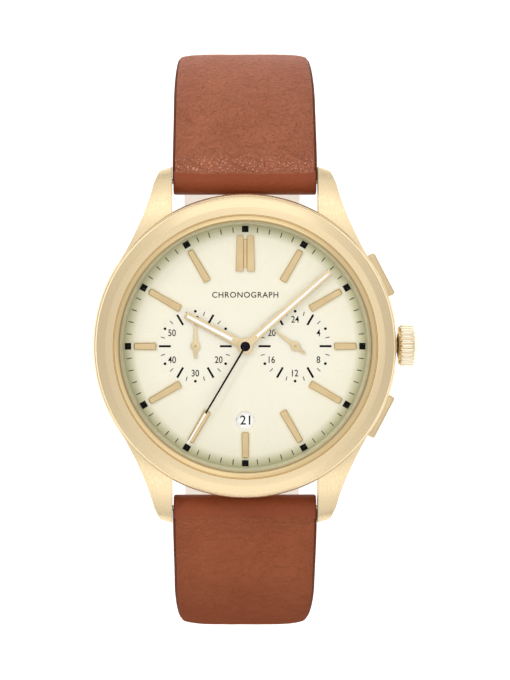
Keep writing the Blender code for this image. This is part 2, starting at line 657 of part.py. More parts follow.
# ---------------------------------------------------------------- strap
class Route:
    """A strap's centre line in the (outward, up) plane, measured from the surface below.

    It leaves the lug bar, turns down over the side arc and under over the bottom arc,
    then runs level towards the middle of the loop and on to the points given.
    """

    def __init__(self, level, beyond=(), tail_arc=0.0, tail_radius=0.0):
        self.points = []
        heading = math.radians(STRAP_HEADING)
        bar = (BAR_Y, CASE_LIFT + BAR_Z)
        centre = (bar[0] - SIDE_RADIUS * math.sin(heading), bar[1] - SIDE_RADIUS * math.cos(heading))
        for i in range(13):
            a = math.pi / 2 - heading - (math.pi / 2 - heading) * i / 12
            self.points.append((centre[0] + SIDE_RADIUS * math.cos(a),
                                centre[1] + SIDE_RADIUS * math.sin(a)))
        widest = self.points[-1]
        drop = widest[1] - level
        for i in range(1, 15):
            a = math.pi / 2 * i / 14
            self.points.append((widest[0] - drop * (1 - math.cos(a)), widest[1] - drop * math.sin(a)))
        self.points.extend(beyond)
        if tail_arc:
            low = self.points[-1]
            steps = 7
            for i in range(1, steps + 1):
                a = math.radians(tail_arc) * i / steps
                self.points.append((low[0] - tail_radius * math.sin(a),
                                    low[1] + tail_radius * (1 - math.cos(a))))
        self.lengths = [0.0]
        for a, b in zip(self.points, self.points[1:]):
            self.lengths.append(self.lengths[-1] + math.dist(a, b))

    def normal(self, i):
        """Away from the wrist opening, at right angles to the line."""
        a = self.points[max(i - 1, 0)]
        b = self.points[min(i + 1, len(self.points) - 1)]
        size = math.dist(a, b)
        return (-(b[1] - a[1]) / size, (b[0] - a[0]) / size)


def blend_values(stops, s):
    """A smooth value at length s, from (length, value) stops."""
    if s <= stops[0][0]:
        return stops[0][1]
    for (s0, v0), (s1, v1) in zip(stops, stops[1:]):
        if s <= s1:
            t = (s - s0) / (s1 - s0)
            return v0 + (v1 - v0) * t * t * (3 - 2 * t)
    return stops[-1][1]


def loft_strap(name, route, side, widths, thicknesses, end_round):
    """Rounded sections along the route, closed at both ends. side is +1 at 12, -1 at 6."""
    shape = bmesh.new()
    rings = []
    total = route.lengths[-1]
    for i, (y, z) in enumerate(route.points):
        s = route.lengths[i]
        half = blend_values(widths, s) / 2
        if end_round and total - s < end_round:
            part = 1 - (total - s) / end_round
            half *= math.sqrt(max(1 - 0.75 * part * part, 0.05))
        up = blend_values(thicknesses, s) / 2
        edge = up * 0.55
        ny, nz = route.normal(i)
        section = [(-half, -edge), (-half, edge), (-half + 0.9, up), (half - 0.9, up), (half, edge),
                   (half, -edge), (half - 0.9, -up), (-half + 0.9, -up)]
        ring = [shape.verts.new((x * MM, side * (y + ny * n) * MM, (z + nz * n) * MM))
                for x, n in section]
        rings.append(ring)
    for a, b in zip(rings, rings[1:]):
        for k in range(len(a)):
            m = (k + 1) % len(a)
            shape.faces.new((a[k], a[m], b[m], b[k]))
    shape.faces.new(rings[0])
    shape.faces.new(list(reversed(rings[-1])))
    bmesh.ops.recalc_face_normals(shape, faces=shape.faces)
    bmesh.ops.translate(shape, verts=shape.verts,
                        vec=(0, -side * BAR_Y * MM, -(CASE_LIFT + BAR_Z) * MM))
    mesh = bpy.data.meshes.new(name)
    shape.to_mesh(mesh)
    shape.free()
    return place(mesh, name, LEATHER, at=(0, side * BAR_Y, BAR_Z))


def lug_eye(strap, side):
    """The strap's rounded end about the spring bar, with the bar's channel through it."""
    at = (0, side * BAR_Y, BAR_Z)
    half = STRAP_WIDTH / 2
    add(strap, rod(f"{strap.name}_eye", None, STRAP_EYE_RADIUS, -half, half, axis="X", steps=24, at=at))
    cut(strap, rod(f"{strap.name}_channel", None, BAR_RADIUS + RUN, -half - 1, half + 1, axis="X",
                   steps=16, at=at))
    return strap


def floor_at(y, z):
    """A point over the surface under the watch, in the head frame."""
    return (0, y, z - CASE_LIFT)


def make_upper_strap():
    last = [(12.0, UPPER_LEVEL), (6.5, UPPER_LEVEL), (BUCKLE_BAR_Y, UPPER_LEVEL)]
    route = Route(UPPER_LEVEL, beyond=last)
    widths = [(0, STRAP_WIDTH), (12, 20.6), (30, 19.4), (70, STRAP_END_WIDTH)]
    thicknesses = [(0, 3.7), (8, 4.1), (30, 3.4), (60, UPPER_THICKNESS)]
    strap = loft_strap("strap_12h", route, 1, widths, thicknesses, 0)
    lug_eye(strap, 1)
    at = floor_at(BUCKLE_BAR_Y, UPPER_LEVEL)
    half = STRAP_END_WIDTH / 2
    add(strap, rod("buckle_fold", None, BUCKLE_EYE_RADIUS, -half, half, axis="X", steps=20, at=at))
    cut(strap, rod("buckle_channel", None, BUCKLE_BAR_RADIUS + RUN, -half - 1, half + 1, axis="X",
                   steps=16, at=at))
    slot_end = BUCKLE_BAR_Y + 2.6
    slot_low = UPPER_LEVEL - CASE_LIFT - 3
    cut(strap, box("tang_slot", None, (-1.3, BUCKLE_BAR_Y - 3, slot_low), (1.3, slot_end, slot_low + 6)))
    return strap


def make_lower_strap():
    """It comes up from under the far bar, dips below the buckle's bar and ends in the tail."""
    dip = []
    start, end = (8.6, LOWER_LEVEL), (-0.6, TAIL_LEVEL)
    for i in range(7):
        t = i / 6
        smooth = t * t * (3 - 2 * t)
        dip.append((start[0] + (end[0] - start[0]) * t, start[1] + (end[1] - start[1]) * smooth))
    flat_end = STRAP_REACH - BOTTOM_RADIUS
    beyond = [*dip, (-6.0, TAIL_LEVEL), (-12.0, TAIL_LEVEL), (-flat_end, TAIL_LEVEL)]
    tail_radius = BOTTOM_RADIUS + UPPER_LEVEL - TAIL_LEVEL
    short = Route(LOWER_LEVEL, beyond=beyond)
    arc = math.degrees((LOWER_LENGTH - short.lengths[-1]) / tail_radius)
    route = Route(LOWER_LEVEL, beyond=beyond, tail_arc=arc, tail_radius=tail_radius)
    widths = [(0, STRAP_WIDTH), (12, 20.5), (28, 18.9), (60, STRAP_END_WIDTH)]
    thicknesses = [(0, 3.7), (8, 4.1), (30, 3.4), (62, 2.1), (85, TAIL_THICKNESS)]
    strap = loft_strap("strap_6h", route, -1, widths, thicknesses, 6.0)
    lug_eye(strap, -1)
    slot = [*circle(1.05, 7, centre=(0, TANG_HOLE_Y + 1.35), start=0, sweep=180),
            *circle(1.05, 7, centre=(0, TANG_HOLE_Y - 1.35), start=180, sweep=180)]
    cut(strap, prism("tang_hole", None, slot, -CASE_LIFT - 1, 7 - CASE_LIFT))
    for step in (-2, -1, 1, 2, 3):
        y = TANG_HOLE_Y + HOLE_PITCH * step
        cut(strap, rod(f"strap_hole_{step}", None, 0.9, -CASE_LIFT - 1, 7 - CASE_LIFT, steps=12,
                       at=(0, y, 0)))
    return strap


def make_spring_bar(side):
    tag = "12h" if side > 0 else "6h"
    half = LUG_GAP / 2 - 0.4
    corners = [(BAR_TIP_RADIUS, 11.4), (BAR_TIP_RADIUS, half), (BAR_RADIUS, half),
               (BAR_RADIUS, -half), (BAR_TIP_RADIUS, -half), (BAR_TIP_RADIUS, -11.4)]
    turned(f"spring_bar_{tag}", STEEL, pin_profile(corners), steps=16, closed=False,
           at=(0, side * BAR_Y, BAR_Z), turn=(0, 90, 0))


# ---------------------------------------------------------------- buckle and keepers
def make_buckle():
    """U-shaped frame: two slanting legs from the eyes down to the far bar."""
    eye = circle(1.3, 11, centre=(BUCKLE_BAR_Y, UPPER_LEVEL), start=-60, sweep=200)
    far = BUCKLE_FAR_Y
    outline = [(far + 0.3, 0), (far + 2.4, 0), *eye, (far + 2.6, 2.2), (far + 2.0, BUCKLE_FAR_HEIGHT),
               (far + 0.2, BUCKLE_FAR_HEIGHT), (far, 1.5), (far, 0.3)]
    at = floor_at(0, 0)
    frame = prism("buckle_frame", GOLD, outline, -11.4, 11.4, axis="X", at=at)
    cut(frame, box("buckle_window", None, (-9.5, far + 2.2, -1), (9.5, 8, 8), at=at))
    soften(frame, 0.22, segments=1, angle=40)
    cut(frame, box("tang_rest", None, (-1.1, far - 1, -1), (1.1, far + 4, 1.15), at=at))
    centre = floor_at(BUCKLE_BAR_Y, UPPER_LEVEL)
    cut(frame, rod("buckle_bar_hole", None, 0.45, -10.7, 10.7, axis="X", steps=12, at=centre))

    corners = [(0.4, 10.5), (0.4, 9.3), (BUCKLE_BAR_RADIUS, 9.3), (BUCKLE_BAR_RADIUS, -9.3),
               (0.4, -9.3), (0.4, -10.5)]
    turned("buckle_spring_bar", STEEL, pin_profile(corners), steps=16, closed=False, at=centre,
           turn=(0, 90, 0))
    make_tang()


def make_tang():
    """A flat strip from the eye on the bar, through the strap, to its rest in the far bar."""
    middle = [(2.2, 0), (0.3, -0.35), (-2.8, -0.8), (-4.2, -1.9), (-5.4, -3.0), (-7.2, -3.72),
              (-12.2, -4.02)]
    half = 0.5
    top, under = [], []
    for i, (y, z) in enumerate(middle):
        a, b = middle[max(i - 1, 0)], middle[min(i + 1, len(middle) - 1)]
        size = math.dist(a, b)
        ny, nz = -(b[1] - a[1]) / size * half, (b[0] - a[0]) / size * half
        top.append((y - ny, z - nz))
        under.append((y + ny, z + nz))
    outline = [(2.2 - 1.2, 0.5)] + top[1:] + list(reversed(under[1:])) + [(2.2 - 1.2, -0.7)]
    at = floor_at(BUCKLE_BAR_Y, UPPER_LEVEL)
    tang = prism("buckle_tang", GOLD, outline, -0.85, 0.85, axis="X", at=at)
    add(tang, rod("tang_eye", None, 1.25, -0.95, 0.95, axis="X", steps=16, at=at))
    cut(tang, rod("tang_bore", None, BUCKLE_BAR_RADIUS + RUN, -2, 2, axis="X", steps=16, at=at))
    return tang


def keeper(name, middle_y, length):
    """A leather loop round both layers of the strap."""
    half = STRAP_END_WIDTH / 2 + 0.45
    top = UPPER_LEVEL + UPPER_THICKNESS / 2 + 0.15
    at = floor_at(middle_y, 0)
    loop = box(name, LEATHER, (-half - KEEPER_WALL, -length / 2, 0),
               (half + KEEPER_WALL, length / 2, top + KEEPER_WALL), at=at)
    soften(loop, 0.5, segments=2)
    cut(loop, box(f"{name}_opening", None, (-half, -length, KEEPER_WALL), (half, length, top), at=at))
    return loop


# ---------------------------------------------------------------- the watch
make_case_middle()
make_bezel()
make_crystal()
make_dial_flange()
make_case_back()
make_dial()
make_indices()
make_hands()
make_date_disc()
make_motion_works()
make_counter_wheels()
make_movement_plates()
make_electrics()
make_crown()
make_setting_lever()
for direction in (1, -1):
    make_pusher(direction)
    make_spring_bar(direction)
make_upper_strap()
make_lower_strap()
make_buckle()
keeper("keeper_fixed", 7.9, 4.6)
keeper("keeper_free", 15.6, 4.6)
bpy.context.view_layer.update()
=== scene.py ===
"""The looks of a chronograph wristwatch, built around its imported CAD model.

Lengths are in millimetres in the head frame, whose origin is on the hands' axis at the outer face
of the case back: +Z is the dial's normal, +Y points to 12 o'clock and +X to 3 o'clock.
settle() carries each finished piece into the row frame, in metres.
"""
import math

import bmesh
import bpy
from mathutils import Matrix, Vector, noise


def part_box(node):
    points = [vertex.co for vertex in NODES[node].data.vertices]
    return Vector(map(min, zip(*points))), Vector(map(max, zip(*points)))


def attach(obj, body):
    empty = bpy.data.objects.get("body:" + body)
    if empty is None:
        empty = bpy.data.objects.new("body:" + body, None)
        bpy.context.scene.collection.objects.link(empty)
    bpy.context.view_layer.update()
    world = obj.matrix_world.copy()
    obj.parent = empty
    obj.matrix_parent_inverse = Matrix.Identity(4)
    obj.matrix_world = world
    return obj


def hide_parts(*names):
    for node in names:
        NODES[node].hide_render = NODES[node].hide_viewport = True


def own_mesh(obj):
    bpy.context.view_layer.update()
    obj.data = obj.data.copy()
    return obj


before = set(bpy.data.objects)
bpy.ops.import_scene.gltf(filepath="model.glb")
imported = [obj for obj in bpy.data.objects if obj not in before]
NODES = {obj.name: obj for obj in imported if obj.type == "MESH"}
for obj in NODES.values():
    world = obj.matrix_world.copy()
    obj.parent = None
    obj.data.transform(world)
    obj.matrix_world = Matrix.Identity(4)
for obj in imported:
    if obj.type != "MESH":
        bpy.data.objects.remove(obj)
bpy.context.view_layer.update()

MM = 0.001


def node_middle(name):
    low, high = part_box(name)
    return (low + high) / 2


AXIS = node_middle("bezel")
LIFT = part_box("case_back")[0].z / MM
HEAD = Matrix.Translation((AXIS.x, 0, LIFT * MM))


def level(node, end):
    """The lowest (0) or highest (1) level of a CAD node, in the head frame."""
    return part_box(node)[end].z / MM - LIFT


def reach(node):
    """Half the width of a CAD node across the hands' axis."""
    low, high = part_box(node)
    return (high.y - low.y) / 2 / MM


# ---------------------------------------------------------------- sizes
ROUND_STEPS = 240
CASE_RADIUS = 21.8
BEZEL_RADIUS = reach("bezel")
DIAL_TOP = level("dial", 1)
CRYSTAL_BOTTOM = level("crystal", 0)
CRYSTAL_TOP = level("crystal", 1)
BEZEL_TOP = level("bezel", 1)
CASE_TOP = 8.0
SUBDIAL_X = 7.13
SUBDIAL_RADIUS = 5.55
SUBDIAL_DEPTH = 0.06
DATE_Y = -10.6
DATE_RADIUS = 1.33
DAYS = 31
DAY_SHOWN = 21
PRINT = 0.015                   # thickness of the dial's print
PRINT_GAP = 0.004               # and its height over the surface that carries it
HOUR_DIRECTION = 297.5          # hands at rest, clockwise from 12
MINUTE_DIRECTION = 48.8
CHRONO_DIRECTION = 210.7
DAY_NIGHT_DIRECTION = 307.0
LUG_GAP = 21.0
BAR_Y = 23.6
BAR_Z = 2.4
CROWN_Z = 4.9
CROWN_INNER_X = 21.9
CROWN_OUTER_X = 24.65
CROWN_FLUTES = 25
PUSHER_ANGLE = 27.5
PUSHER_OUTER = 22.6
PUSHER_HALF = 3.3


# ---------------------------------------------------------------- mesh helpers
def signed_area(outline):
    pairs = zip(outline, outline[1:] + outline[:1])
    return sum(a[0] * b[1] - b[0] * a[1] for a, b in pairs) / 2


def fillet(outline, radius, steps=3, closed=True):
    """The outline with each corner rounded. A corner may carry its own radius as a third value."""
    made = []
    count = len(outline)
    for i, corner in enumerate(outline):
        here = Vector(corner[:2])
        if not closed and i in (0, count - 1):
            made.append(tuple(here))
            continue
        size = corner[2] if len(corner) > 2 else radius
        before = Vector(outline[i - 1][:2]) - here
        after = Vector(outline[(i + 1) % count][:2]) - here
        bend = before.angle(after)
        if size <= 0 or bend > math.radians(176):
            made.append(tuple(here))
            continue
        room = size / math.tan(bend / 2)
        room = min(room, before.length * 0.48, after.length * 0.48)
        start = here + before.normalized() * room
        end = here + after.normalized() * room
        for k in range(steps + 1):
            t = k / steps
            point = start * (1 - t) ** 2 + here * (2 * t * (1 - t)) + end * t * t
            made.append(tuple(point))
    return made


def mesh_object(name, shape):
    bmesh.ops.recalc_face_normals(shape, faces=shape.faces)
    mesh = bpy.data.meshes.new(name)
    shape.to_mesh(mesh)
    shape.free()
    made = bpy.data.objects.new(name, mesh)
    bpy.context.scene.collection.objects.link(made)
    return made


def revolve(name, profile, steps=ROUND_STEPS, closed=True):
    """A turned piece from (radius, height) points. An open profile starts and ends on the axis."""
    shape = bmesh.new()
    rings = []
    for r, z in profile:
        if r < 1e-6:
            rings.append([shape.verts.new((0, 0, z))] * steps)
            continue
        turn = [2 * math.pi * i / steps for i in range(steps)]
        rings.append([shape.verts.new((r * math.cos(a), r * math.sin(a), z)) for a in turn])
    pairs = list(zip(rings, rings[1:]))
    if closed:
        pairs.append((rings[-1], rings[0]))
    for low, high in pairs:
        for i in range(steps):
            k = (i + 1) % steps
            corners = [low[i], low[k], high[k], high[i]]
            face = list(dict.fromkeys(corners))
            if len(face) > 2:
                shape.faces.new(face)
    return mesh_object(name, shape)


def pin(corners, radius=0.1, steps=3):
    """The open rounded profile of a solid pin from its outer (radius, height) corners."""
    outline = [(0, corners[0][1]), *corners, (0, corners[-1][1])]
    return fillet(outline, radius, steps, closed=False)


def skin(shape, low, high):
    """Faces between two closed rings of as many points."""
    for i in range(len(low)):
        k = (i + 1) % len(low)
        shape.faces.new((low[i], low[k], high[k], high[i]))


def prism(name, outline, low, high, axis="Z"):
    """A flat outline given thickness along Z from (x, y), or along X from (y, z)."""
    points = [p[:2] for p in outline]
    if signed_area(points) < 0:
        points.reverse()
    shape = bmesh.new()
    ends = []
    for h in (low, high):
        if axis == "Z":
            ends.append([shape.verts.new((x, y, h)) for x, y in points])
        else:
            ends.append([shape.verts.new((h, y, z)) for y, z in points])
    shape.faces.new(list(reversed(ends[0])))
    shape.faces.new(ends[1])
    skin(shape, *ends)
    return mesh_object(name, shape)


def rod(name, radius, low, high, axis="Z", steps=48, at=(0, 0, 0)):
    made = revolve(name, [(0, low), (radius, low), (radius, high), (0, high)], steps, closed=False)
    turn = {"Z": Matrix.Identity(4), "X": Matrix.Rotation(math.pi / 2, 4, "Y"),
            "Y": Matrix.Rotation(-math.pi / 2, 4, "X")}[axis]
    made.data.transform(Matrix.Translation(at) @ turn)
    return made


def box(name, low, high):
    outline = [(low[0], low[1]), (high[0], low[1]), (high[0], high[1]), (low[0], high[1])]
    return prism(name, outline, low[2], high[2])


def apply_modifiers(made):
    bpy.context.view_layer.update()
    done = bpy.data.meshes.new_from_object(made.evaluated_get(bpy.context.evaluated_depsgraph_get()))
    made.modifiers.clear()
    made.data = done
    return made


def combine(target, tool, how):
    step = target.modifiers.new(how, "BOOLEAN")
    step.operation = how
    step.solver = "EXACT"
    step.object = tool
    apply_modifiers(target)
    bpy.data.objects.remove(tool)
    return target


def cut(target, tool):
    return combine(target, tool, "DIFFERENCE")


def weld(target, tool):
    return combine(target, tool, "UNION")


def soften(target, width, segments=3, angle=30):
    bevel = target.modifiers.new("soft edges", "BEVEL")
    bevel.width = width
    bevel.segments = segments
    bevel.limit_method = "ANGLE"
    bevel.angle_limit = math.radians(angle)
    bevel.harden_normals = False
    return apply_modifiers(target)


def shift(made, at=(0, 0, 0), turn_z=0.0, turn_y=0.0):
    """Moves a piece's mesh: first turned about Y, then placed, then turned about Z."""
    matrix = (Matrix.Rotation(math.radians(turn_z), 4, "Z") @ Matrix.Translation(at)
              @ Matrix.Rotation(math.radians(turn_y), 4, "Y"))
    made.data.transform(matrix)
    return made


def join(name, pieces):
    """One piece out of several separate ones."""
    shape = bmesh.new()
    for piece in pieces:
        shape.from_mesh(piece.data)
        bpy.data.objects.remove(piece)
    return mesh_object(name, shape)


def settle(made, body, material, replaced=(), sharp=35):
    """Carries a finished piece into the row frame and hands it to its body."""
    made.data.transform(HEAD @ Matrix.Scale(MM, 4))
    made.data.shade_smooth()
    made.data.set_sharp_from_angle(angle=math.radians(sharp))
    looks = material if isinstance(material, (list, tuple)) else [material]
    kept = [min(face.material_index, len(looks) - 1) for face in made.data.polygons]
    made.data.materials.clear()
    for look in looks:
        made.data.materials.append(look)
    made.data.polygons.foreach_set("material_index", kept)
    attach(made, body)
    if replaced:
        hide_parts(*replaced)
    return made


# ---------------------------------------------------------------- material helpers
class Look:
    """A Principled material with short calls for the nodes that feed it."""

    def __init__(self, name, colour, roughness, metallic=0.0):
        self.material = bpy.data.materials.new(name)
        self.material.use_nodes = True
        self.nodes = self.material.node_tree.nodes
        self.links = self.material.node_tree.links
        self.shader = self.nodes["Principled BSDF"]
        self.put("Base Color", (*colour, 1.0))
        self.put("Roughness", roughness)
        self.put("Metallic", metallic)
        self.point = self.nodes.new("ShaderNodeTexCoord").outputs["Object"]
        self.bump_end = None

    def put(self, socket, value):
        self.shader.inputs[socket].default_value = value

    def node(self, kind, inputs=(), **settings):
        made = self.nodes.new(kind)
        for key, value in settings.items():
            setattr(made, key, value)
        for socket, value in dict(inputs).items():
            if isinstance(value, bpy.types.NodeSocket):
                self.links.new(value, made.inputs[socket])
            else:
                made.inputs[socket].default_value = value
        return made

    def scaled(self, x, y, z):
        made = self.node("ShaderNodeMapping", {"Vector": self.point, "Scale": (x, y, z)})
        return made.outputs["Vector"]

    def grain(self, scale, detail=4.0, rough=0.55, vector=None):
        made = self.node("ShaderNodeTexNoise", {
            "Vector": vector or self.point, "Scale": scale, "Detail": detail, "Roughness": rough})
        return made.outputs["Fac"]

    def cells(self, scale, vector):
        """Distance to the edges of the cells in a Voronoi pattern."""
        made = self.node("ShaderNodeTexVoronoi", {"Vector": vector, "Scale": scale},
                         feature="DISTANCE_TO_EDGE")
        return made.outputs["Distance"]

    def ramp(self, value, stops):
        made = self.node("ShaderNodeValToRGB", {"Fac": value})
        line = made.color_ramp.elements
        while len(line) < len(stops):
            line.new(0.5)
        for element, (place, colour) in zip(line, stops):
            element.position = place
            element.color = (*colour, 1.0)
        return made.outputs["Color"]

    def span(self, value, low, high, from_low=0.0, from_high=1.0):
        made = self.node("ShaderNodeMapRange", {
            "Value": value, "From Min": from_low, "From Max": from_high,
            "To Min": low, "To Max": high})
        return made.outputs["Result"]

    def math(self, how, a, b=0.0):
        made = self.node("ShaderNodeMath", {0: a, 1: b}, operation=how)
        return made.outputs["Value"]

    def times(self, a, b):
        return self.math("MULTIPLY", a, b)

    def mix(self, factor, a, b, blend="MIX"):
        made = self.node("ShaderNodeMix", data_type="RGBA", blend_type=blend)
        for socket, value in ((made.inputs["Factor"], factor), (made.inputs[6], a), (made.inputs[7], b)):
            if isinstance(value, bpy.types.NodeSocket):
                self.links.new(value, socket)
            else:
                socket.default_value = value if isinstance(value, float) else (*value[:3], 1.0)
        return made.outputs[2]

    def feed(self, socket, output):
        self.links.new(output, self.shader.inputs[socket])

    def vary_roughness(self, pattern, low, high, dark=0.3, light=0.7):
        self.feed("Roughness", self.span(pattern, low, high, dark, light))

    def vary_colour(self, pattern, colour, share, most=1.0, dark=0.3):
        """The colour, and that share of its brightness where the pattern is light."""
        deeper = tuple(c * share for c in colour)
        self.feed("Base Color", self.mix(self.span(pattern, 0.0, most, dark, 0.7), colour, deeper))

    def bump(self, height, strength, distance_mm):
        inputs = {"Height": height, "Strength": strength, "Distance": distance_mm * MM}
        if self.bump_end is not None:
            inputs["Normal"] = self.bump_end
        self.bump_end = self.node("ShaderNodeBump", inputs).outputs["Normal"]
        self.feed("Normal", self.bump_end)

    def brushed_about_z(self, amount, rotation):
        """Stretched highlights for turned (rotation 0.25) or sunburst (0) brushing."""
        self.put("Anisotropic", amount)
        self.put("Anisotropic Rotation", rotation)
        tangent = self.node("ShaderNodeTangent", direction_type="RADIAL", axis="Z")
        self.feed("Tangent", tangent.outputs["Tangent"])

    def from_axis(self):
        """(x, y) in millimetres from the hands' axis, and the distance from it."""
        moved = self.node("ShaderNodeVectorMath", {0: self.point, 1: (-AXIS.x, 0.0, 0.0)},
                          operation="ADD")
        parts = self.node("ShaderNodeSeparateXYZ", {"Vector": moved.outputs["Vector"]})
        x = self.times(parts.outputs["X"], 1000.0)
        y = self.times(parts.outputs["Y"], 1000.0)
        squares = self.math("ADD", self.times(x, x), self.times(y, y))
        return x, y, self.math("SQRT", squares)


GOLD_COLOUR = (0.80, 0.645, 0.405)


def gold(name, roughness, brush=None, colour=GOLD_COLOUR, strength=0.25):
    """Champagne gold plating. brush is the stretch of its brushing along X, Y and Z."""
    look = Look(name, colour, roughness, 1.0)
    cloud = look.grain(60.0, 3.0)
    look.vary_colour(cloud, colour, 0.93, dark=0.35)
    if brush:
        lines = look.grain(1.0, 2.0, 0.6, look.scaled(*brush))
        look.vary_roughness(lines, roughness * 0.75, roughness * 1.35)
        look.bump(lines, strength, 0.01)
    else:
        smudge = look.grain(350.0, 4.0)
        look.vary_roughness(smudge, roughness * 0.7, roughness * 1.4)
    return look.material


def ring_brushed_gold(name, roughness):
    """Gold brushed in circles about the hands' axis."""
    look = Look(name, GOLD_COLOUR, roughness, 1.0)
    r = look.from_axis()[2]
    z = look.node("ShaderNodeSeparateXYZ", {"Vector": look.point}).outputs["Z"]
    place = look.node("ShaderNodeCombineXYZ", {
        "X": look.times(r, 9.0), "Y": look.times(z, 9000.0), "Z": 0.0})
    lines = look.grain(1.0, 3.0, 0.6, place.outputs["Vector"])
    look.vary_roughness(lines, roughness * 0.8, roughness * 1.3)
    look.vary_colour(lines, GOLD_COLOUR, 0.95)
    look.bump(lines, 0.2, 0.008)
    look.brushed_about_z(0.6, 0.25)
    return look.material


def plain_metal(name, colour, roughness, scale=400.0):
    look = Look(name, colour, roughness, 1.0)
    mottle = look.grain(scale, 4.0)
    look.vary_roughness(mottle, roughness * 0.7, roughness * 1.35)
    look.vary_colour(mottle, colour, 0.85, most=0.6)
    look.bump(mottle, 0.08, 0.01)
    return look.material


def plastic(name, colour, roughness, scale=900.0, bump=0.1, shine=0.5, painted_glow=0.0):
    look = Look(name, colour, roughness)
    look.put("Specular IOR Level", shine)
    # painted light: a faint emission brightens the part, though it is no lamp
    if painted_glow:
        look.put("Emission Color", (1.0, 1.0, 1.0, 1.0))
        look.put("Emission Strength", painted_glow)
    mottle = look.grain(scale, 3.0)
    look.vary_roughness(mottle, roughness * 0.85, min(roughness * 1.2, 1.0))
    look.vary_colour(mottle, colour, 0.9)
    look.bump(mottle, bump, 0.01)
    return look.material


def dial_lacquer():
    """Champagne sunburst: fine rays, paler middle, painted olive shade at the rim, painted shadow at its
    edge.
    """
    look = Look("dial_lacquer", (0.90, 0.86, 0.70), 0.34, 0.2)
    x, y, r = look.from_axis()
    angle = look.math("ARCTAN2", y, x)
    rays_at = look.node("ShaderNodeCombineXYZ", {
        "X": look.times(look.math("COSINE", angle), 24.0),
        "Y": look.times(look.math("SINE", angle), 24.0),
        "Z": look.times(r, 0.05)})
    rays = look.grain(6.0, 3.0, 0.7, rays_at.outputs["Vector"])
    centre, middle = (0.985, 0.955, 0.80), (0.975, 0.94, 0.78)
    # painted shade: olive towards the rim for a curved rim, and the edge darker still as a painted
    # contact shadow
    rim, edge = (0.66, 0.645, 0.43), (0.48, 0.45, 0.27)
    tone_and_painted_rim_shade = look.ramp(look.math("DIVIDE", r, 17.6), [
        (0.0, centre), (0.62, middle), (0.89, middle), (0.95, rim), (1.0, edge)])
    tint = look.mix(look.span(rays, 0.0, 1.0, 0.35, 0.65), tone_and_painted_rim_shade, (0.93, 0.90, 0.83), "MULTIPLY")
    look.feed("Base Color", look.mix(0.45, tone_and_painted_rim_shade, tint))
    look.vary_roughness(rays, 0.28, 0.42, 0.35, 0.65)
    look.bump(rays, 0.06, 0.01)
    look.brushed_about_z(0.7, 0.0)
    return look.material


def subdial_lacquer():
    """The sub-dials' slightly greyer floor, turned in fine circles."""
    look = Look("subdial_lacquer", (0.95, 0.92, 0.78), 0.4, 0.15)
    x, y, _ = look.from_axis()
    off = look.math("SUBTRACT", look.math("ABSOLUTE", x), SUBDIAL_X)
    ring = look.math("SQRT", look.math("ADD", look.times(off, off),
                                       look.times(y, y)))
    waves = look.math("SINE", look.times(ring, 40.0))
    look.feed("Base Color", look.mix(look.span(waves, 0.0, 1.0, -1.0, 1.0), (0.965, 0.935, 0.80),
                                     (0.93, 0.895, 0.755)))
    look.bump(waves, 0.05, 0.01)
    return look.material


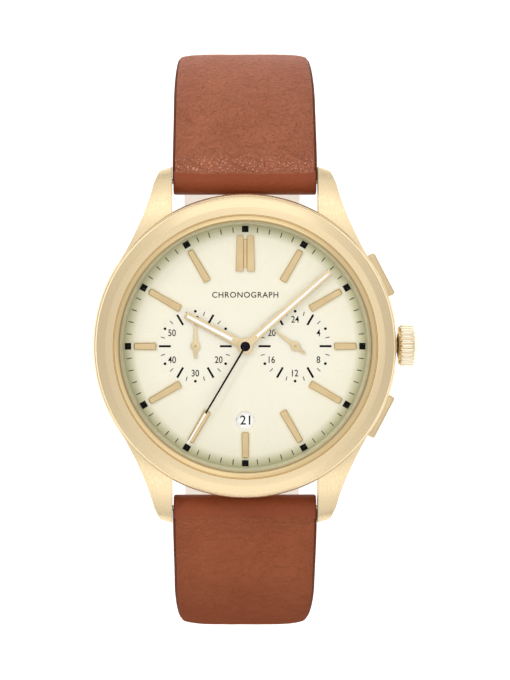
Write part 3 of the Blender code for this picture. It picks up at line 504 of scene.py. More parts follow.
def leather(name, base, dark, light, cell_mm=0.7, depth=0.5, roughness=0.55, wrinkle=0.5,
            shine=0.15, lip=0.0, far_bend_shade=0.0):
    """Calf leather: pebbles of two sizes, fine pores, drawn-out wrinkles and cloudy dye, with painted
    shade in the creases, in the wrinkles, towards the sides and over the far bend.

    lip is the strength of a painted highlight on the pebbles beside the lugs, far_bend_shade how much
    painted shade darkens the far bend.
    """
    look = Look(name, base, roughness)
    look.put("Specular IOR Level", shine)
    warp = look.node("ShaderNodeTexNoise", {"Vector": look.point, "Scale": 700.0, "Detail": 3.0})
    bent = look.node("ShaderNodeVectorMath", {0: warp.outputs["Color"], 1: (0.0011, 0.0011, 0.0011)},
                     operation="MULTIPLY").outputs["Vector"]
    place = look.node("ShaderNodeVectorMath", {0: look.point, 1: bent}, operation="ADD")
    scale = 1000.0 / cell_mm
    large = look.cells(scale, place.outputs["Vector"])
    small = look.cells(scale * 2.1, place.outputs["Vector"])
    pores = look.grain(scale * 4.0, 4.0, 0.65)
    cloud = look.grain(110.0, 5.0, 0.6)
    drawn = look.node("ShaderNodeTexNoise", {
        "Vector": look.scaled(300.0, 520.0, 520.0), "Scale": 1.0, "Detail": 4.0, "Roughness": 0.5,
        "Distortion": 1.6}).outputs["Fac"]
    line = look.math("ABSOLUTE", look.math("SUBTRACT", drawn, 0.5))
    groove = look.span(line, 1.0, 0.0, 0.0, 0.02)
    painted_crease_shade = look.span(large, 1.0, 0.0, 0.0, 0.11)
    tone = look.mix(look.span(cloud, 0.0, 1.0, 0.32, 0.68), base, light)
    # painted shade: darker in the creases between pebbles and in the wrinkles' grooves
    tone = look.mix(look.times(painted_crease_shade, 0.12 * depth), tone, dark)
    tone = look.mix(look.times(groove, 0.13 * wrinkle), tone, dark)
    tone = look.mix(look.span(pores, 0.0, 0.06, 0.48, 0.7), tone, dark)
    x, y, _ = look.from_axis()
    along = look.math("ABSOLUTE", y)
    # painted shade: darker towards the strap's rounded sides
    side = look.span(look.math("ABSOLUTE", x), 0.0, 0.14, 6.5, 10.4)
    tone = look.mix(side, tone, dark)
    # painted highlight: paler pebble tops in a band beside the lugs
    if lip:
        pale = tuple(min(1.0, c * 1.5 + 0.12) for c in base)
        rising = look.span(along, 0.0, 1.0, 24.7, 25.2)
        falling = look.span(along, 1.0, 0.0, 26.2, 28.8)
        lip_highlight_band = look.times(rising, look.times(falling, falling))
        peaks = look.span(small, 0.0, 1.0, 0.12, 0.42)
        tone = look.mix(look.times(look.times(lip_highlight_band, peaks), lip), tone, pale)
    # painted shade: darker towards the far bend of the strap
    if far_bend_shade:
        tone = look.mix(look.span(along, 0.0, far_bend_shade, 33.0, 42.0), tone, dark)
    look.feed("Base Color", tone)
    look.vary_roughness(cloud, roughness * 0.88, roughness * 1.15)
    look.bump(look.span(large, 0.0, 1.0, 0.0, 0.35), depth, 0.12)
    look.bump(look.span(small, 0.0, 1.0, 0.0, 0.4), depth * 0.8, 0.07)
    look.bump(pores, depth * 0.4, 0.035)
    look.bump(look.span(line, 0.0, 1.0, 0.0, 0.05), wrinkle, 0.14)
    return look.material


def crystal_glass():
    look = Look("crystal_glass", (0.02, 0.02, 0.02), 0.02)
    look.put("Alpha", 0.03)
    look.put("IOR", 1.5)
    haze = look.grain(200.0, 2.0)
    look.vary_roughness(haze, 0.01, 0.03)
    return look.material


SATIN_GOLD = gold("satin_gold", 0.30, brush=(6000.0, 110.0, 6000.0), strength=0.15)
SIDE_GOLD = gold("side_satin_gold", 0.30, brush=(90.0, 90.0, 5000.0))
# a darker copy of the gold plating: painted shade on the pushers
SHADED_BUTTON_GOLD = gold("button_gold_painted_shade", 0.30, brush=(2500.0, 60.0, 2500.0), colour=(0.68, 0.535, 0.325))
RING_GOLD = ring_brushed_gold("ring_brushed_gold", 0.27)
POLISHED_GOLD = gold("polished_gold", 0.12)
# a paler, whiter copy of the gold plating: painted light on the crown, which sits in shade
LIT_CROWN_GOLD = gold("crown_gold_painted_light", 0.16, colour=(0.84, 0.73, 0.55))
# a darker, deeper copy of the gold plating: painted shade in the bezel's groove, also used on the crown
# sleeve
SHADED_BEVEL_GOLD = gold("bevel_gold_painted_shade", 0.09, colour=(0.70, 0.53, 0.28))
# a darker, deeper copy of the gold plating: painted shade on the bezel's polished inner slope
SHADED_LIP_GOLD = gold("lip_gold_painted_shade", 0.16, colour=(0.74, 0.57, 0.31))
HAND_GOLD = gold("hand_gold", 0.22, colour=(0.82, 0.66, 0.40))
INDEX_GOLD = gold("index_gold", 0.40, colour=(0.80, 0.62, 0.35))
BRUSHED_STEEL = plain_metal("brushed_steel", (0.63, 0.63, 0.64), 0.28)
MOVEMENT_BRASS = plain_metal("movement_brass", (0.70, 0.56, 0.30), 0.30)
WINDING_COPPER = plain_metal("winding_copper", (0.75, 0.33, 0.15), 0.35, 1500.0)
DIAL_LACQUER = dial_lacquer()
SUBDIAL_LACQUER = subdial_lacquer()
INK = plastic("dial_ink", (0.004, 0.004, 0.004), 0.6, bump=0.03, shine=0.08)
CAP_BLACK = plastic("cap_black", (0.003, 0.003, 0.010), 0.2, bump=0.02, shine=0.12)
HAND_BLACK = plastic("hand_black", (0.003, 0.003, 0.004), 0.4, bump=0.03, shine=0.06)
# the lume and the date ring carry a painted glow that brightens them
LUME = plastic("lume_white", (0.98, 0.98, 0.96), 0.55, 1400.0, 0.06, painted_glow=0.14)
DATE_WHITE = plastic("date_white", (0.98, 0.98, 0.97), 0.5, bump=0.04, painted_glow=0.16)
NYLON = plastic("nylon_white", (0.85, 0.84, 0.80), 0.45)
AMBER_NYLON = plastic("amber_nylon", (0.52, 0.40, 0.20), 0.4)
FLANGE_LACQUER = plastic("flange_lacquer", (0.70, 0.67, 0.45), 0.35)
RUBBER = plastic("black_rubber", (0.03, 0.03, 0.03), 0.7)
CIRCUIT = plastic("circuit_green", (0.03, 0.15, 0.07), 0.4, 2500.0)
GLASS = crystal_glass()
LEATHER = leather("pebbled_leather", (0.342, 0.106, 0.053), (0.12, 0.030, 0.014),
                  (0.388, 0.130, 0.070), cell_mm=0.9, depth=1.0, wrinkle=0.6, shine=0.14, lip=1.0)
SMOOTH_LEATHER = leather("smooth_leather", (0.285, 0.082, 0.039), (0.11, 0.027, 0.012),
                         (0.320, 0.098, 0.048), depth=0.45, wrinkle=0.55, shine=0.0, lip=0.15,
                         far_bend_shade=0.45)
# a darker copy of the leather: painted shade of the fold round the spring bar, also worn by the keepers
SHADED_FOLD_LEATHER = leather("fold_leather_painted_shade", (0.270, 0.060, 0.022), (0.12, 0.025, 0.012),
                       (0.30, 0.074, 0.030), depth=0.15, roughness=0.45, wrinkle=0.3)
LINING = leather("lining_leather", (0.91, 0.84, 0.75), (0.68, 0.56, 0.45), (0.94, 0.88, 0.80),
                 depth=0.2, roughness=0.8, wrinkle=0.2)
EDGE_PAINT = plastic("edge_paint", (0.115, 0.030, 0.013), 0.6, 700.0, 0.2, shine=0.05)


# ---------------------------------------------------------------- case
def bezier(corners, count):
    made = []
    for i in range(count):
        t = i / (count - 1)
        s = 1 - t
        weights = (s ** 3, 3 * s * s * t, 3 * s * t * t, t ** 3)
        made.append(tuple(sum(w * c[k] for w, c in zip(weights, corners)) for k in (0, 1)))
    return made


def lug(sign_x, sign_y):
    """Plan outline trimmed by the side outline, with soft edges."""
    inner = LUG_GAP / 2
    outer_edge = bezier([(19.4, 9.26), (16.6, 14.4), (14.2, 18.6), (13.1, 23.3)], 24)
    plan = [(inner, 9.26), *outer_edge, *fillet([(13.1, 23.4), (12.3, 25.1), (inner, 25.7)], 0.9,
                                                5, closed=False)[1:]]
    top = bezier([(9.0, 7.9), (15.5, 8.0), (20.5, 7.2), (24.4, 4.5)], 20)
    side = [*top, *fillet([(24.4, 4.5), (25.75, 3.2), (25.65, 0.5), (24.6, 0.3), (21.0, 0.75)],
                          0.7, 5, closed=False)[1:], (17.0, 1.3), (9.0, 1.5)]
    made = prism("lug", [(sign_x * x, sign_y * y) for x, y in plan], -1, 9)
    low, high = sorted((sign_x * 10, sign_x * 20))
    combine(made, prism("lug_side", [(sign_y * y, z) for y, z in side], low, high, axis="X"),
            "INTERSECT")
    soften(made, 0.28, 3, 35)
    return cut(made, rod("lug_clear", 19.6, -2, 10, steps=160))


def make_case():
    corners = [
        (18.7, CASE_TOP), (21.1, CASE_TOP, 0.2), (21.6, 7.7, 0.5), (CASE_RADIUS, 7.0, 0.5),
        (CASE_RADIUS, 4.6, 2.0), (21.4, 2.9, 2.0), (20.7, 1.5, 1.0), (20.0, 0.9, 0.3),
        (18.8, 0.9, 0.1), (18.8, 1.9),
        (17.95, 1.9), (17.95, 2.5), (17.2, 2.5), (17.2, 7.15), (18.7, 7.15)]
    case = revolve("case_shell", fillet(corners, 0.05, 4))
    quarters = [(sign_x, sign_y) for sign_x in (1, -1) for sign_y in (1, -1)]
    for sign_x, sign_y in quarters:
        weld(case, lug(sign_x, sign_y))
    for sign_x, sign_y in quarters:
        low, high = sorted((sign_x * 10, sign_x * 11.6))
        cut(case, rod("bar_hole", 0.45, low, high, axis="X", steps=24,
                      at=(0, sign_y * BAR_Y, BAR_Z)))
    cut(case, box("crown_flat", (21.2, -3.3, 1.2), (23, 3.3, 7.6)))
    cut(case, rod("tube_hole", 1.13, 16, 23, axis="X", at=(0, 0, CROWN_Z)))
    for sign in (1, -1):
        angle = sign * PUSHER_ANGLE
        pocket = soften(box("pocket", (20.1, -PUSHER_HALF - 0.08, CROWN_Z - 1.43),
                            (24, PUSHER_HALF + 0.08, CROWN_Z + 1.43)),
                        0.25, 3)
        well = rod("well", 1.3, 18.5, 21, axis="X", at=(0, 0, CROWN_Z))
        bore = rod("bore", 0.75, 16, 21, axis="X", at=(0, 0, CROWN_Z))
        for tool in (pocket, well, bore):
            cut(case, shift(tool, turn_z=angle))
    for face in case.data.polygons:
        if face.normal.z > 0.25 and abs(face.center.y) > 11:
            face.material_index = 1
    settle(case, "case", [SIDE_GOLD, SATIN_GOLD], ["case_middle"], sharp=28)


def make_bezel():
    """A brushed cone, a fine groove and a polished inner lip."""
    opening = 17.92
    groove_in, groove_out = 18.62, 18.84
    corners = [
        (opening, CRYSTAL_BOTTOM + 0.03), (opening, 10.35, 0.05), (18.12, 10.5, 0.1),
        (groove_in, BEZEL_TOP - 0.1, 0.03), (groove_in + 0.06, BEZEL_TOP - 0.3, 0.02),
        (groove_out - 0.06, BEZEL_TOP - 0.3, 0.02), (groove_out, BEZEL_TOP, 0.05),
        (19.9, BEZEL_TOP - 0.2, 0.5), (21.15, 10.05, 0.25), (BEZEL_RADIUS, 9.7, 0.3),
        (BEZEL_RADIUS, 8.45, 0.2), (21.05, CASE_TOP + 0.03), (18.7, CASE_TOP + 0.03),
        (18.7, CRYSTAL_BOTTOM + 0.03)]
    ring = revolve("bezel_ring", fillet(corners, 0.05, 6))
    # the inner slope takes the darker gold: painted shade
    bevel_faces(ring, opening, groove_in + 0.01, 10.2, 2)
    # the groove takes the darker gold: painted shade
    bevel_faces(ring, groove_in + 0.01, groove_out - 0.01, 10.2, 1)
    settle(ring, "case", [RING_GOLD, SHADED_BEVEL_GOLD, SHADED_LIP_GOLD], ["bezel"])


def bevel_faces(made, low_r, high_r, above, index):
    """Gives the faces between two radii, over a level, another material slot."""
    for face in made.data.polygons:
        centre = face.center
        radius = math.hypot(centre.x, centre.y)
        if low_r < radius < high_r and centre.z > above:
            face.material_index = index


def make_crystal():
    radius = reach("crystal")
    glass = revolve("crystal_disc", pin([(radius - 0.15, CRYSTAL_TOP), (radius, CRYSTAL_TOP - 0.15),
                                         (radius, CRYSTAL_BOTTOM)], 0.05))
    settle(glass, "case", GLASS, ["crystal"])
    low, high = level("crystal_gasket", 0), level("crystal_gasket", 1)
    seal = fillet([(17.73, high), (17.89, high), (17.89, low), (17.73, low)], 0.04)
    settle(revolve("crystal_seal", seal), "case", AMBER_NYLON, ["crystal_gasket"])


def make_flange():
    low, high = level("dial_flange", 0), level("dial_flange", 1)
    corners = [(17.35, low, 0.02), (17.62, high, 0.05), (18.6, high), (18.6, low)]
    settle(revolve("flange_ring", fillet(corners, 0.05)), "case", FLANGE_LACQUER,
           ["dial_flange"])


# ---------------------------------------------------------------- dial
def make_dial():
    radius, low = reach("dial"), level("dial", 0)
    dial = revolve("dial_plate", pin([(radius, DIAL_TOP), (radius, low)], 0.03))
    for side in (-1, 1):
        cut(dial, rod("floor", SUBDIAL_RADIUS, DIAL_TOP - SUBDIAL_DEPTH, 9, steps=128,
                      at=(side * SUBDIAL_X, 0, 0)))
        cut(dial, rod("hole", 0.3, 6, 9, steps=32, at=(side * SUBDIAL_X, 0, 0)))
    cut(dial, rod("centre_hole", 0.85, 6, 9, steps=48))
    cut(dial, rod("window", DATE_RADIUS, 6, 9, steps=96, at=(0, DATE_Y, 0)))
    for face in dial.data.polygons:
        if abs(face.center.z - (DIAL_TOP - SUBDIAL_DEPTH)) < 0.001:
            face.material_index = 1
    settle(dial, "case", [DIAL_LACQUER, SUBDIAL_LACQUER], ["dial"])


def compass(degrees, radius=1.0, centre=(0, 0)):
    a = math.radians(degrees)
    return centre[0] + radius * math.sin(a), centre[1] + radius * math.cos(a)


def point(pieces, direction, at=(0, 0)):
    """Turns pieces that point to 12 clockwise about their centre, and sets that in place."""
    for piece in pieces:
        piece.data.transform(Matrix.Translation((*at, 0))
                             @ Matrix.Rotation(math.radians(-direction), 4, "Z"))


def stroke(direction, inner, outer, width, base, centre=(0, 0)):
    """A printed bar that points away from a centre."""
    half = width / 2
    made = prism("stroke", [(-half, inner), (half, inner), (half, outer), (-half, outer)], base,
                 base + PRINT)
    point([made], direction, centre)
    return made


def lettering(words, size, base, centre, turn=0.0, spacing=1.0, narrow=1.0):
    """Printed characters, centred on a point."""
    text = bpy.data.curves.new("lettering", "FONT")
    text.body = words
    text.size = size
    text.align_x = "CENTER"
    text.align_y = "CENTER"
    text.extrude = PRINT / 2
    text.offset = size * 0.008
    text.space_character = spacing
    text.resolution_u = 6
    guide = bpy.data.objects.new("lettering", text)
    bpy.context.scene.collection.objects.link(guide)
    bpy.context.view_layer.update()
    mesh = bpy.data.meshes.new_from_object(guide.evaluated_get(bpy.context.evaluated_depsgraph_get()))
    bpy.data.objects.remove(guide)
    xs = [v.co.x for v in mesh.vertices]
    ys = [v.co.y for v in mesh.vertices]
    middle = Vector(((min(xs) + max(xs)) / 2, (min(ys) + max(ys)) / 2, 0))
    mesh.transform(Matrix.Translation((*centre, base + PRINT / 2))
                   @ Matrix.Rotation(math.radians(-turn), 4, "Z")
                   @ Matrix.Diagonal((narrow, 1, 1, 1)) @ Matrix.Translation(-middle))
    made = bpy.data.objects.new("lettering", mesh)
    bpy.context.scene.collection.objects.link(made)
    return made


def make_print():
    top = DIAL_TOP + PRINT_GAP
    marks = []
    for minute in range(60):
        outer, width = (17.05, 0.12) if minute % 5 else (17.2, 0.95)
        marks.append(stroke(6 * minute, 16.3, outer, width, top))
    marks.append(lettering("CHRONOGRAPH", 1.15, top, (0, 7.35), spacing=1.12))
    floor = DIAL_TOP - SUBDIAL_DEPTH + PRINT_GAP
    faces = ((-1, {0: "60", 60: "10", 120: "20", 180: "30", 240: "40", 300: "50"}),
             (1, {0: "24", 60: "4", 120: "8", 180: "12", 240: "16", 300: "20"}))
    for side, words in faces:
        centre = (side * SUBDIAL_X, 0)
        for step in range(24):
            direction = 15 * step
            if direction % 60 == 30:
                marks.append(stroke(direction, 3.5, 5.2, 0.3, floor, centre))
            elif direction % 60 == 0:
                marks.append(rod("dot", 0.2, floor, floor + PRINT, steps=16,
                                 at=(*compass(direction, 5.0, centre), 0)))
            elif step % 2:
                marks.append(stroke(direction, 4.5, 5.1, 0.11, floor, centre))
        for direction, word in words.items():
            marks.append(lettering(word, 1.36, floor, compass(direction, 3.85, centre), narrow=0.85))
    settle(join("dial_print", marks), "case", INK, sharp=20)


def make_date_ring():
    """The toothed ring with all 31 numbers, so that the window shows one at every step."""
    low, high = level("date_disc", 0), level("date_disc", 1)
    ring = revolve("date_ring", fillet([(9.15, high), (13.0, high), (13.0, low), (9.15, low)], 0.03))
    teeth = []
    for i in range(DAYS):
        tooth = prism("tooth", [(-0.3, 9.4), (-0.15, 8.75), (0.15, 8.75), (0.3, 9.4)], low + 0.04,
                      high - 0.04)
        teeth.append(shift(tooth, turn_z=360 * (i + 0.5) / DAYS - 90))
    settle(join("date_ring", [ring, *teeth]), "date", DATE_WHITE, ["date_disc"])
    numbers = []
    for day in range(1, DAYS + 1):
        direction = 180 - (day - DAY_SHOWN) * 360 / DAYS
        numbers.append(lettering(str(day), 1.86, high + PRINT_GAP, compass(direction, -DATE_Y),
                                 turn=direction - 180))
    settle(join("date_numbers", numbers), "date", INK, sharp=20)


# ---------------------------------------------------------------- hands
LIE = 0.01                      # clearance of each hand over its CAD level


def add_boss(blade, radius, low, thick, edge):
    """The round middle of a hand, a hair thicker than its blade."""
    profile = pin([(radius, low + thick + 0.01), (radius, low - 0.01)], edge)
    weld(blade, revolve("boss", profile, 64, closed=False))


def baton(name, width_in, width_out, length, tail, low, thick, hole, hub, inlay):
    """A baton hand with bevelled edges and a sunk strip of white lume."""
    blade = prism(name, [(-width_in / 2, tail), (-width_out / 2, length), (width_out / 2, length),
                         (width_in / 2, tail)], low, low + thick)
    add_boss(blade, hub, low, thick, 0.04)
    soften(blade, 0.045, 2, 40)
    start, end, share = inlay
    narrow_in = width_in * share
    narrow_out = width_out * share
    slot = prism("slot", [(-narrow_in / 2, start), (narrow_in / 2, start), (narrow_out / 2, end),
                          (-narrow_out / 2, end)], low + thick * 0.5, low + 1)
    cut(blade, slot)
    cut(blade, rod("hole", hole, low - 1, low + 1, steps=32))
    strip = prism(f"{name}_lume", [(-narrow_in / 2 + 0.01, start + 0.01),
                                   (narrow_in / 2 - 0.01, start + 0.01),
                                   (narrow_out / 2 - 0.01, end - 0.01),
                                   (-narrow_out / 2 + 0.01, end - 0.01)],
                  low + thick * 0.5 + 0.005, low + thick + 0.005)
    soften(strip, 0.02, 2, 40)
    return blade, strip


def make_hands():
    for kind, direction, width_in, width_out, length, hole, hub, inlay in (
            ("hour", HOUR_DIRECTION, 1.24, 1.0, 9.65, 0.78, 1.15, (2.1, 9.35, 0.38)),
            ("minute", MINUTE_DIRECTION, 1.12, 0.84, 16.15, 0.48, 1.05, (2.2, 15.85, 0.37))):
        node, body = f"{kind}_hand", f"{kind}s"
        blade, strip = baton(f"{kind}_baton", width_in, width_out, length, 0.3,
                             level(node, 0) + LIE, 0.14, hole, hub, inlay)
        point((blade, strip), direction)
        settle(blade, body, HAND_GOLD, [node])
        settle(strip, body, LUME)
    make_chrono_hand()
    for node, side, direction, body in (
            ("chrono_minutes_hand", -1, 0.0, "chrono_minutes"),
            ("day_night_hand", 1, DAY_NIGHT_DIRECTION, "day_night")):
        make_leaf(node, side, direction, body)


def make_chrono_hand():
    """A black needle with a pale tip and a domed cap."""
    low = level("chrono_seconds_hand", 0) + LIE
    thick = 0.12
    turn_at = 11.1
    needle = prism("chrono_needle", [(-0.14, 0.3), (-0.12, turn_at), (0.12, turn_at), (0.14, 0.3)],
                   low, low + thick)
    add_boss(needle, 0.7, low, thick, 0.03)
    soften(needle, 0.02, 2, 40)
    tip = prism("chrono_tip", [(-0.12, turn_at + 0.005), (-0.11, 16.1), (0.11, 16.1),
                               (0.12, turn_at + 0.005)], low, low + thick)
    soften(tip, 0.02, 2, 40)
    cap = revolve("chrono_cap", pin([(0.12, low + 0.2), (0.42, low + 0.17), (0.6, low + thick + 0.02)],
                                    0.05), 64, closed=False)
    point((needle, tip, cap), CHRONO_DIRECTION)
    settle(needle, "chrono_seconds", HAND_BLACK, ["chrono_seconds_hand"])
    settle(tip, "chrono_seconds", LUME)
    settle(cap, "chrono_seconds", CAP_BLACK)


def make_leaf(node, side, direction, body):
    low = level(node, 0) + LIE
    thick = 0.1
    outline = [(-0.16, -1.75), (-0.26, -1.1), (-0.2, -0.45), (-0.3, 0.5), (-0.09, 3.75),
               (0.09, 3.75), (0.3, 0.5), (0.2, -0.45), (0.26, -1.1), (0.16, -1.75)]
    blade = prism(f"{node}_leaf", outline, low, low + thick)
    add_boss(blade, 0.68, low, thick, 0.03)
    soften(blade, 0.03, 2, 40)
    cut(blade, rod("hole", 0.19, low - 1, low + 1, steps=24))
    point([blade], direction, (side * SUBDIAL_X, 0))
    settle(blade, body, HAND_GOLD, [node])


# ---------------------------------------------------------------- crown and pushers
def make_crown():
    """Rounded flutes between two polished rims."""
    depth = CROWN_OUTER_X - CROWN_INNER_X
    per_flute = 12
    count = CROWN_FLUTES * per_flute
    layers = [(0.0, 2.5, 0.0), (0.12, 2.68, 0.0), (0.38, 2.92, 0.25), (0.5, 3.03, 1.0),
              (depth - 0.62, 3.03, 1.0), (depth - 0.5, 2.95, 0.35), (depth - 0.32, 2.72, 0.0),
              (depth - 0.1, 2.4, 0.0), (depth, 2.2, 0.0)]
    shape = bmesh.new()
    rings = []
    for x, radius, flute in layers:
        ring = []
        for i in range(count):
            a = 2 * math.pi * i / count
            wave = abs(math.sin(a * CROWN_FLUTES / 2)) ** 0.7
            r = radius - 0.24 * flute * (1 - wave)
            ring.append(shape.verts.new((r * math.cos(a), r * math.sin(a), x)))
        rings.append(ring)
    for low, high in zip(rings, rings[1:]):
        skin(shape, low, high)
    shape.faces.new(rings[0])
    dome = [shape.verts.new((0.6 * v.co.x, 0.6 * v.co.y, depth)) for v in rings[-1]]
    skin(shape, rings[-1], dome)
    shape.faces.new(dome)
    crown = mesh_object("fluted_crown", shape)
    cut(crown, rod("hollow", 1.75, -1, 1.6, steps=64))
    cut(crown, rod("socket", 0.48, 1, 2.3, steps=32))
    shift(crown, (CROWN_INNER_X, 0, CROWN_Z), turn_y=90)
    settle(crown, "crown_and_stem", LIT_CROWN_GOLD, ["crown"], sharp=40)
    tube = revolve("crown_sleeve", fillet([(0.6, 23.3), (1.1, 23.3), (1.1, 17.3), (0.6, 17.3)], 0.08),
                   64)
    settle(shift(tube, (0, 0, CROWN_Z), turn_y=90), "case", SHADED_BEVEL_GOLD,
           ["crown_tube"])


def make_pusher(sign):
    tag = "2h" if sign > 0 else "4h"
    cap = box(f"push_button_{tag}", (PUSHER_OUTER - 1.6, -PUSHER_HALF, -1.35),
              (PUSHER_OUTER, PUSHER_HALF, 1.35))
    soften(cap, 0.32, 5)
    stem = rod("stem", 0.7, 16.2, PUSHER_OUTER - 0.8, axis="X")
    weld(cap, stem)
    shift(cap, (0, 0, CROWN_Z))
    cap.data.transform(Matrix.Rotation(math.radians(sign * PUSHER_ANGLE), 4, "Z"))
    settle(cap, f"button_{tag}", SHADED_BUTTON_GOLD, [f"pusher_{tag}"])


# ---------------------------------------------------------------- strap
STRAP_HEADING = 10.0
SIDE_RADIUS = 21.4
STRAP_REACH = 41.3
BOTTOM_RADIUS = 22.0
STRAP_WIDTH = 20.86
STRAP_END_WIDTH = 18.0
TAIL_LEVEL = 2.1
UPPER_LEVEL = 4.6
LOWER_LEVEL = 3.15
BUCKLE_BAR_Y = 3.0
LOWER_LENGTH = 120.0
TANG_HOLE_Y = -2.1
HOLE_PITCH = 6.5
STATION = 0.45                  # spacing of the strap's sections
ACROSS = 56                     # points across each face of the strap


def route_corners(drop_to, beyond, tail):
    """The strap's centre line as (outward, up) points over the surface under the watch."""
    heading = math.radians(STRAP_HEADING)
    bar = (BAR_Y, LIFT + BAR_Z)
    centre = (bar[0] - SIDE_RADIUS * math.sin(heading), bar[1] - SIDE_RADIUS * math.cos(heading))
    made = []
    for i in range(61):
        a = (math.pi / 2 - heading) * (1 - i / 60)
        made.append((centre[0] + SIDE_RADIUS * math.cos(a), centre[1] + SIDE_RADIUS * math.sin(a)))
    widest = made[-1]
    drop = widest[1] - drop_to
    for i in range(1, 71):
        a = math.pi / 2 * i / 70
        made.append((widest[0] - drop * (1 - math.cos(a)), widest[1] - drop * math.sin(a)))
    made.extend(beyond)
    if tail:
        arc, radius = tail
        low = made[-1]
        for i in range(1, 41):
            a = arc * i / 40
            made.append((low[0] - radius * math.sin(a), low[1] + radius * (1 - math.cos(a))))
    return made


def evenly(points, spacing):
    """Points at even spacing along a line, with their lengths along it."""
    lengths = [0.0]
    for a, b in zip(points, points[1:]):
        lengths.append(lengths[-1] + math.dist(a, b))
    count = max(2, round(lengths[-1] / spacing))
    made = []
    k = 0
    for i in range(count + 1):
        s = lengths[-1] * i / count
        while k < len(points) - 2 and lengths[k + 1] < s:
            k += 1
        t = (s - lengths[k]) / max(lengths[k + 1] - lengths[k], 1e-9)
        made.append((points[k][0] + (points[k + 1][0] - points[k][0]) * t,
                     points[k][1] + (points[k + 1][1] - points[k][1]) * t, s))
    return made


def along(stops, s):
    if s <= stops[0][0]:
        return stops[0][1]
    for (s0, v0), (s1, v1) in zip(stops, stops[1:]):
        if s <= s1:
            t = (s - s0) / (s1 - s0)
            return v0 + (v1 - v0) * t * t * (3 - 2 * t)
    return stops[-1][1]


def outer_share(u, fullness):
    """Height of the outer face across the strap: 1 in the middle, lower at its edges."""
    edge = abs(u)
    crown = 1 - fullness * edge ** 6
    if edge > 0.94:
        crown -= (1 - fullness) * 0.35 * ((edge - 0.94) / 0.06) ** 2
    return crown


def make_strap(name, side, points, widths, thicknesses, swell, end_round, sink):
    """A flat leather strap: crowned outer face, flat lining, rounded painted edges."""
    stations = evenly(points, STATION)
    total = stations[-1][2]
    shape = bmesh.new()
    rings = []
    for i, (y, z, s) in enumerate(stations):
        before, after = stations[max(i - 1, 0)], stations[min(i + 1, len(stations) - 1)]
        size = math.dist(before[:2], after[:2])
        ny, nz = -(after[1] - before[1]) / size, (after[0] - before[0]) / size
        half = along(widths, s) / 2 - 0.02
        if end_round and total - s < end_round:
            part = 1 - (total - s) / end_round
            half *= math.sqrt(max(1 - 0.75 * part * part, 0.05))
        up = along(thicknesses, s) / 2
        drop = along([(0, 0.08), (3, 0.12), (16, 0.22), (30, swell), (50, 0.24), (80, 0.12)], s)
        ring = []
        for k in range(ACROSS + 1):
            u = -1 + 2 * k / ACROSS
            x = u * half
            high = up * outer_share(u, drop) - leather_sink(x, s, side, sink)
            ring.append((x, high))
        for k in range(1, 6):
            a = math.pi * k / 6
            edge = up * outer_share(1, drop)
            ring.append((half + 0.12 * math.sin(a) - 0.12, edge * math.cos(a) * 0.98))
        for k in range(ACROSS // 4 + 1):
            u = 1 - 8 * k / ACROSS
            ring.append((u * half, -up * (1 - 0.12 * abs(u) ** 8)))
        for k in range(1, 6):
            a = math.pi * k / 6
            edge = up * outer_share(1, drop)
            ring.append((-half - 0.12 * math.sin(a) + 0.12, -edge * math.cos(a) * 0.98))
        rings.append([shape.verts.new((x, side * (y + ny * n), z + nz * n - LIFT))
                      for x, n in ring])
    for low, high in zip(rings, rings[1:]):
        for k in range(len(low)):
            m = (k + 1) % len(low)
            face = shape.faces.new((low[k], low[m], high[m], high[k]))
            if 0 < k < ACROSS - 1:
                face.material_index = 0
            elif ACROSS + 6 <= k < ACROSS + 6 + ACROSS // 4:
                face.material_index = 1
            else:
                face.material_index = 2
    for end in (rings[0], rings[-1]):
        face = shape.faces.new(end)
        face.material_index = 2
    return mesh_object(name, shape)


def leather_sink(x, s, side, sink):
    """Shallow creases and swells of the leather's surface, in millimetres."""
    at = Vector((x * 0.16, s * 0.16, side * 7.3))
    swell = noise.noise(at) * 0.10
    fine = noise.noise(Vector((x * 0.75, s * 0.75, side * 3.1))) * 0.035
    fade = min(1.0, s / 6.0)
    return sink * fade * (swell + fine)


def lug_fold(strap, side):
    """The leather folded about the spring bar, with the bar's channel."""
    half = STRAP_WIDTH / 2 - 0.14
    fold = revolve("fold", pin([(1.93, half), (1.93, -half)], 0.35, 5), 64, closed=False)
    fold.data.transform(Matrix.Translation((0, side * BAR_Y, BAR_Z))
                        @ Matrix.Rotation(math.pi / 2, 4, "Y"))
    for_slots(fold)
    for face in fold.data.polygons:
        face.material_index = 3
    weld(strap, fold)
    cut(strap, rod("channel", 0.83, -12, 12, axis="X", steps=40, at=(0, side * BAR_Y, BAR_Z)))


UPPER_LOOKS = [LEATHER, LINING, EDGE_PAINT, SHADED_FOLD_LEATHER]
LOWER_LOOKS = [SMOOTH_LEATHER, LINING, EDGE_PAINT, SHADED_FOLD_LEATHER]


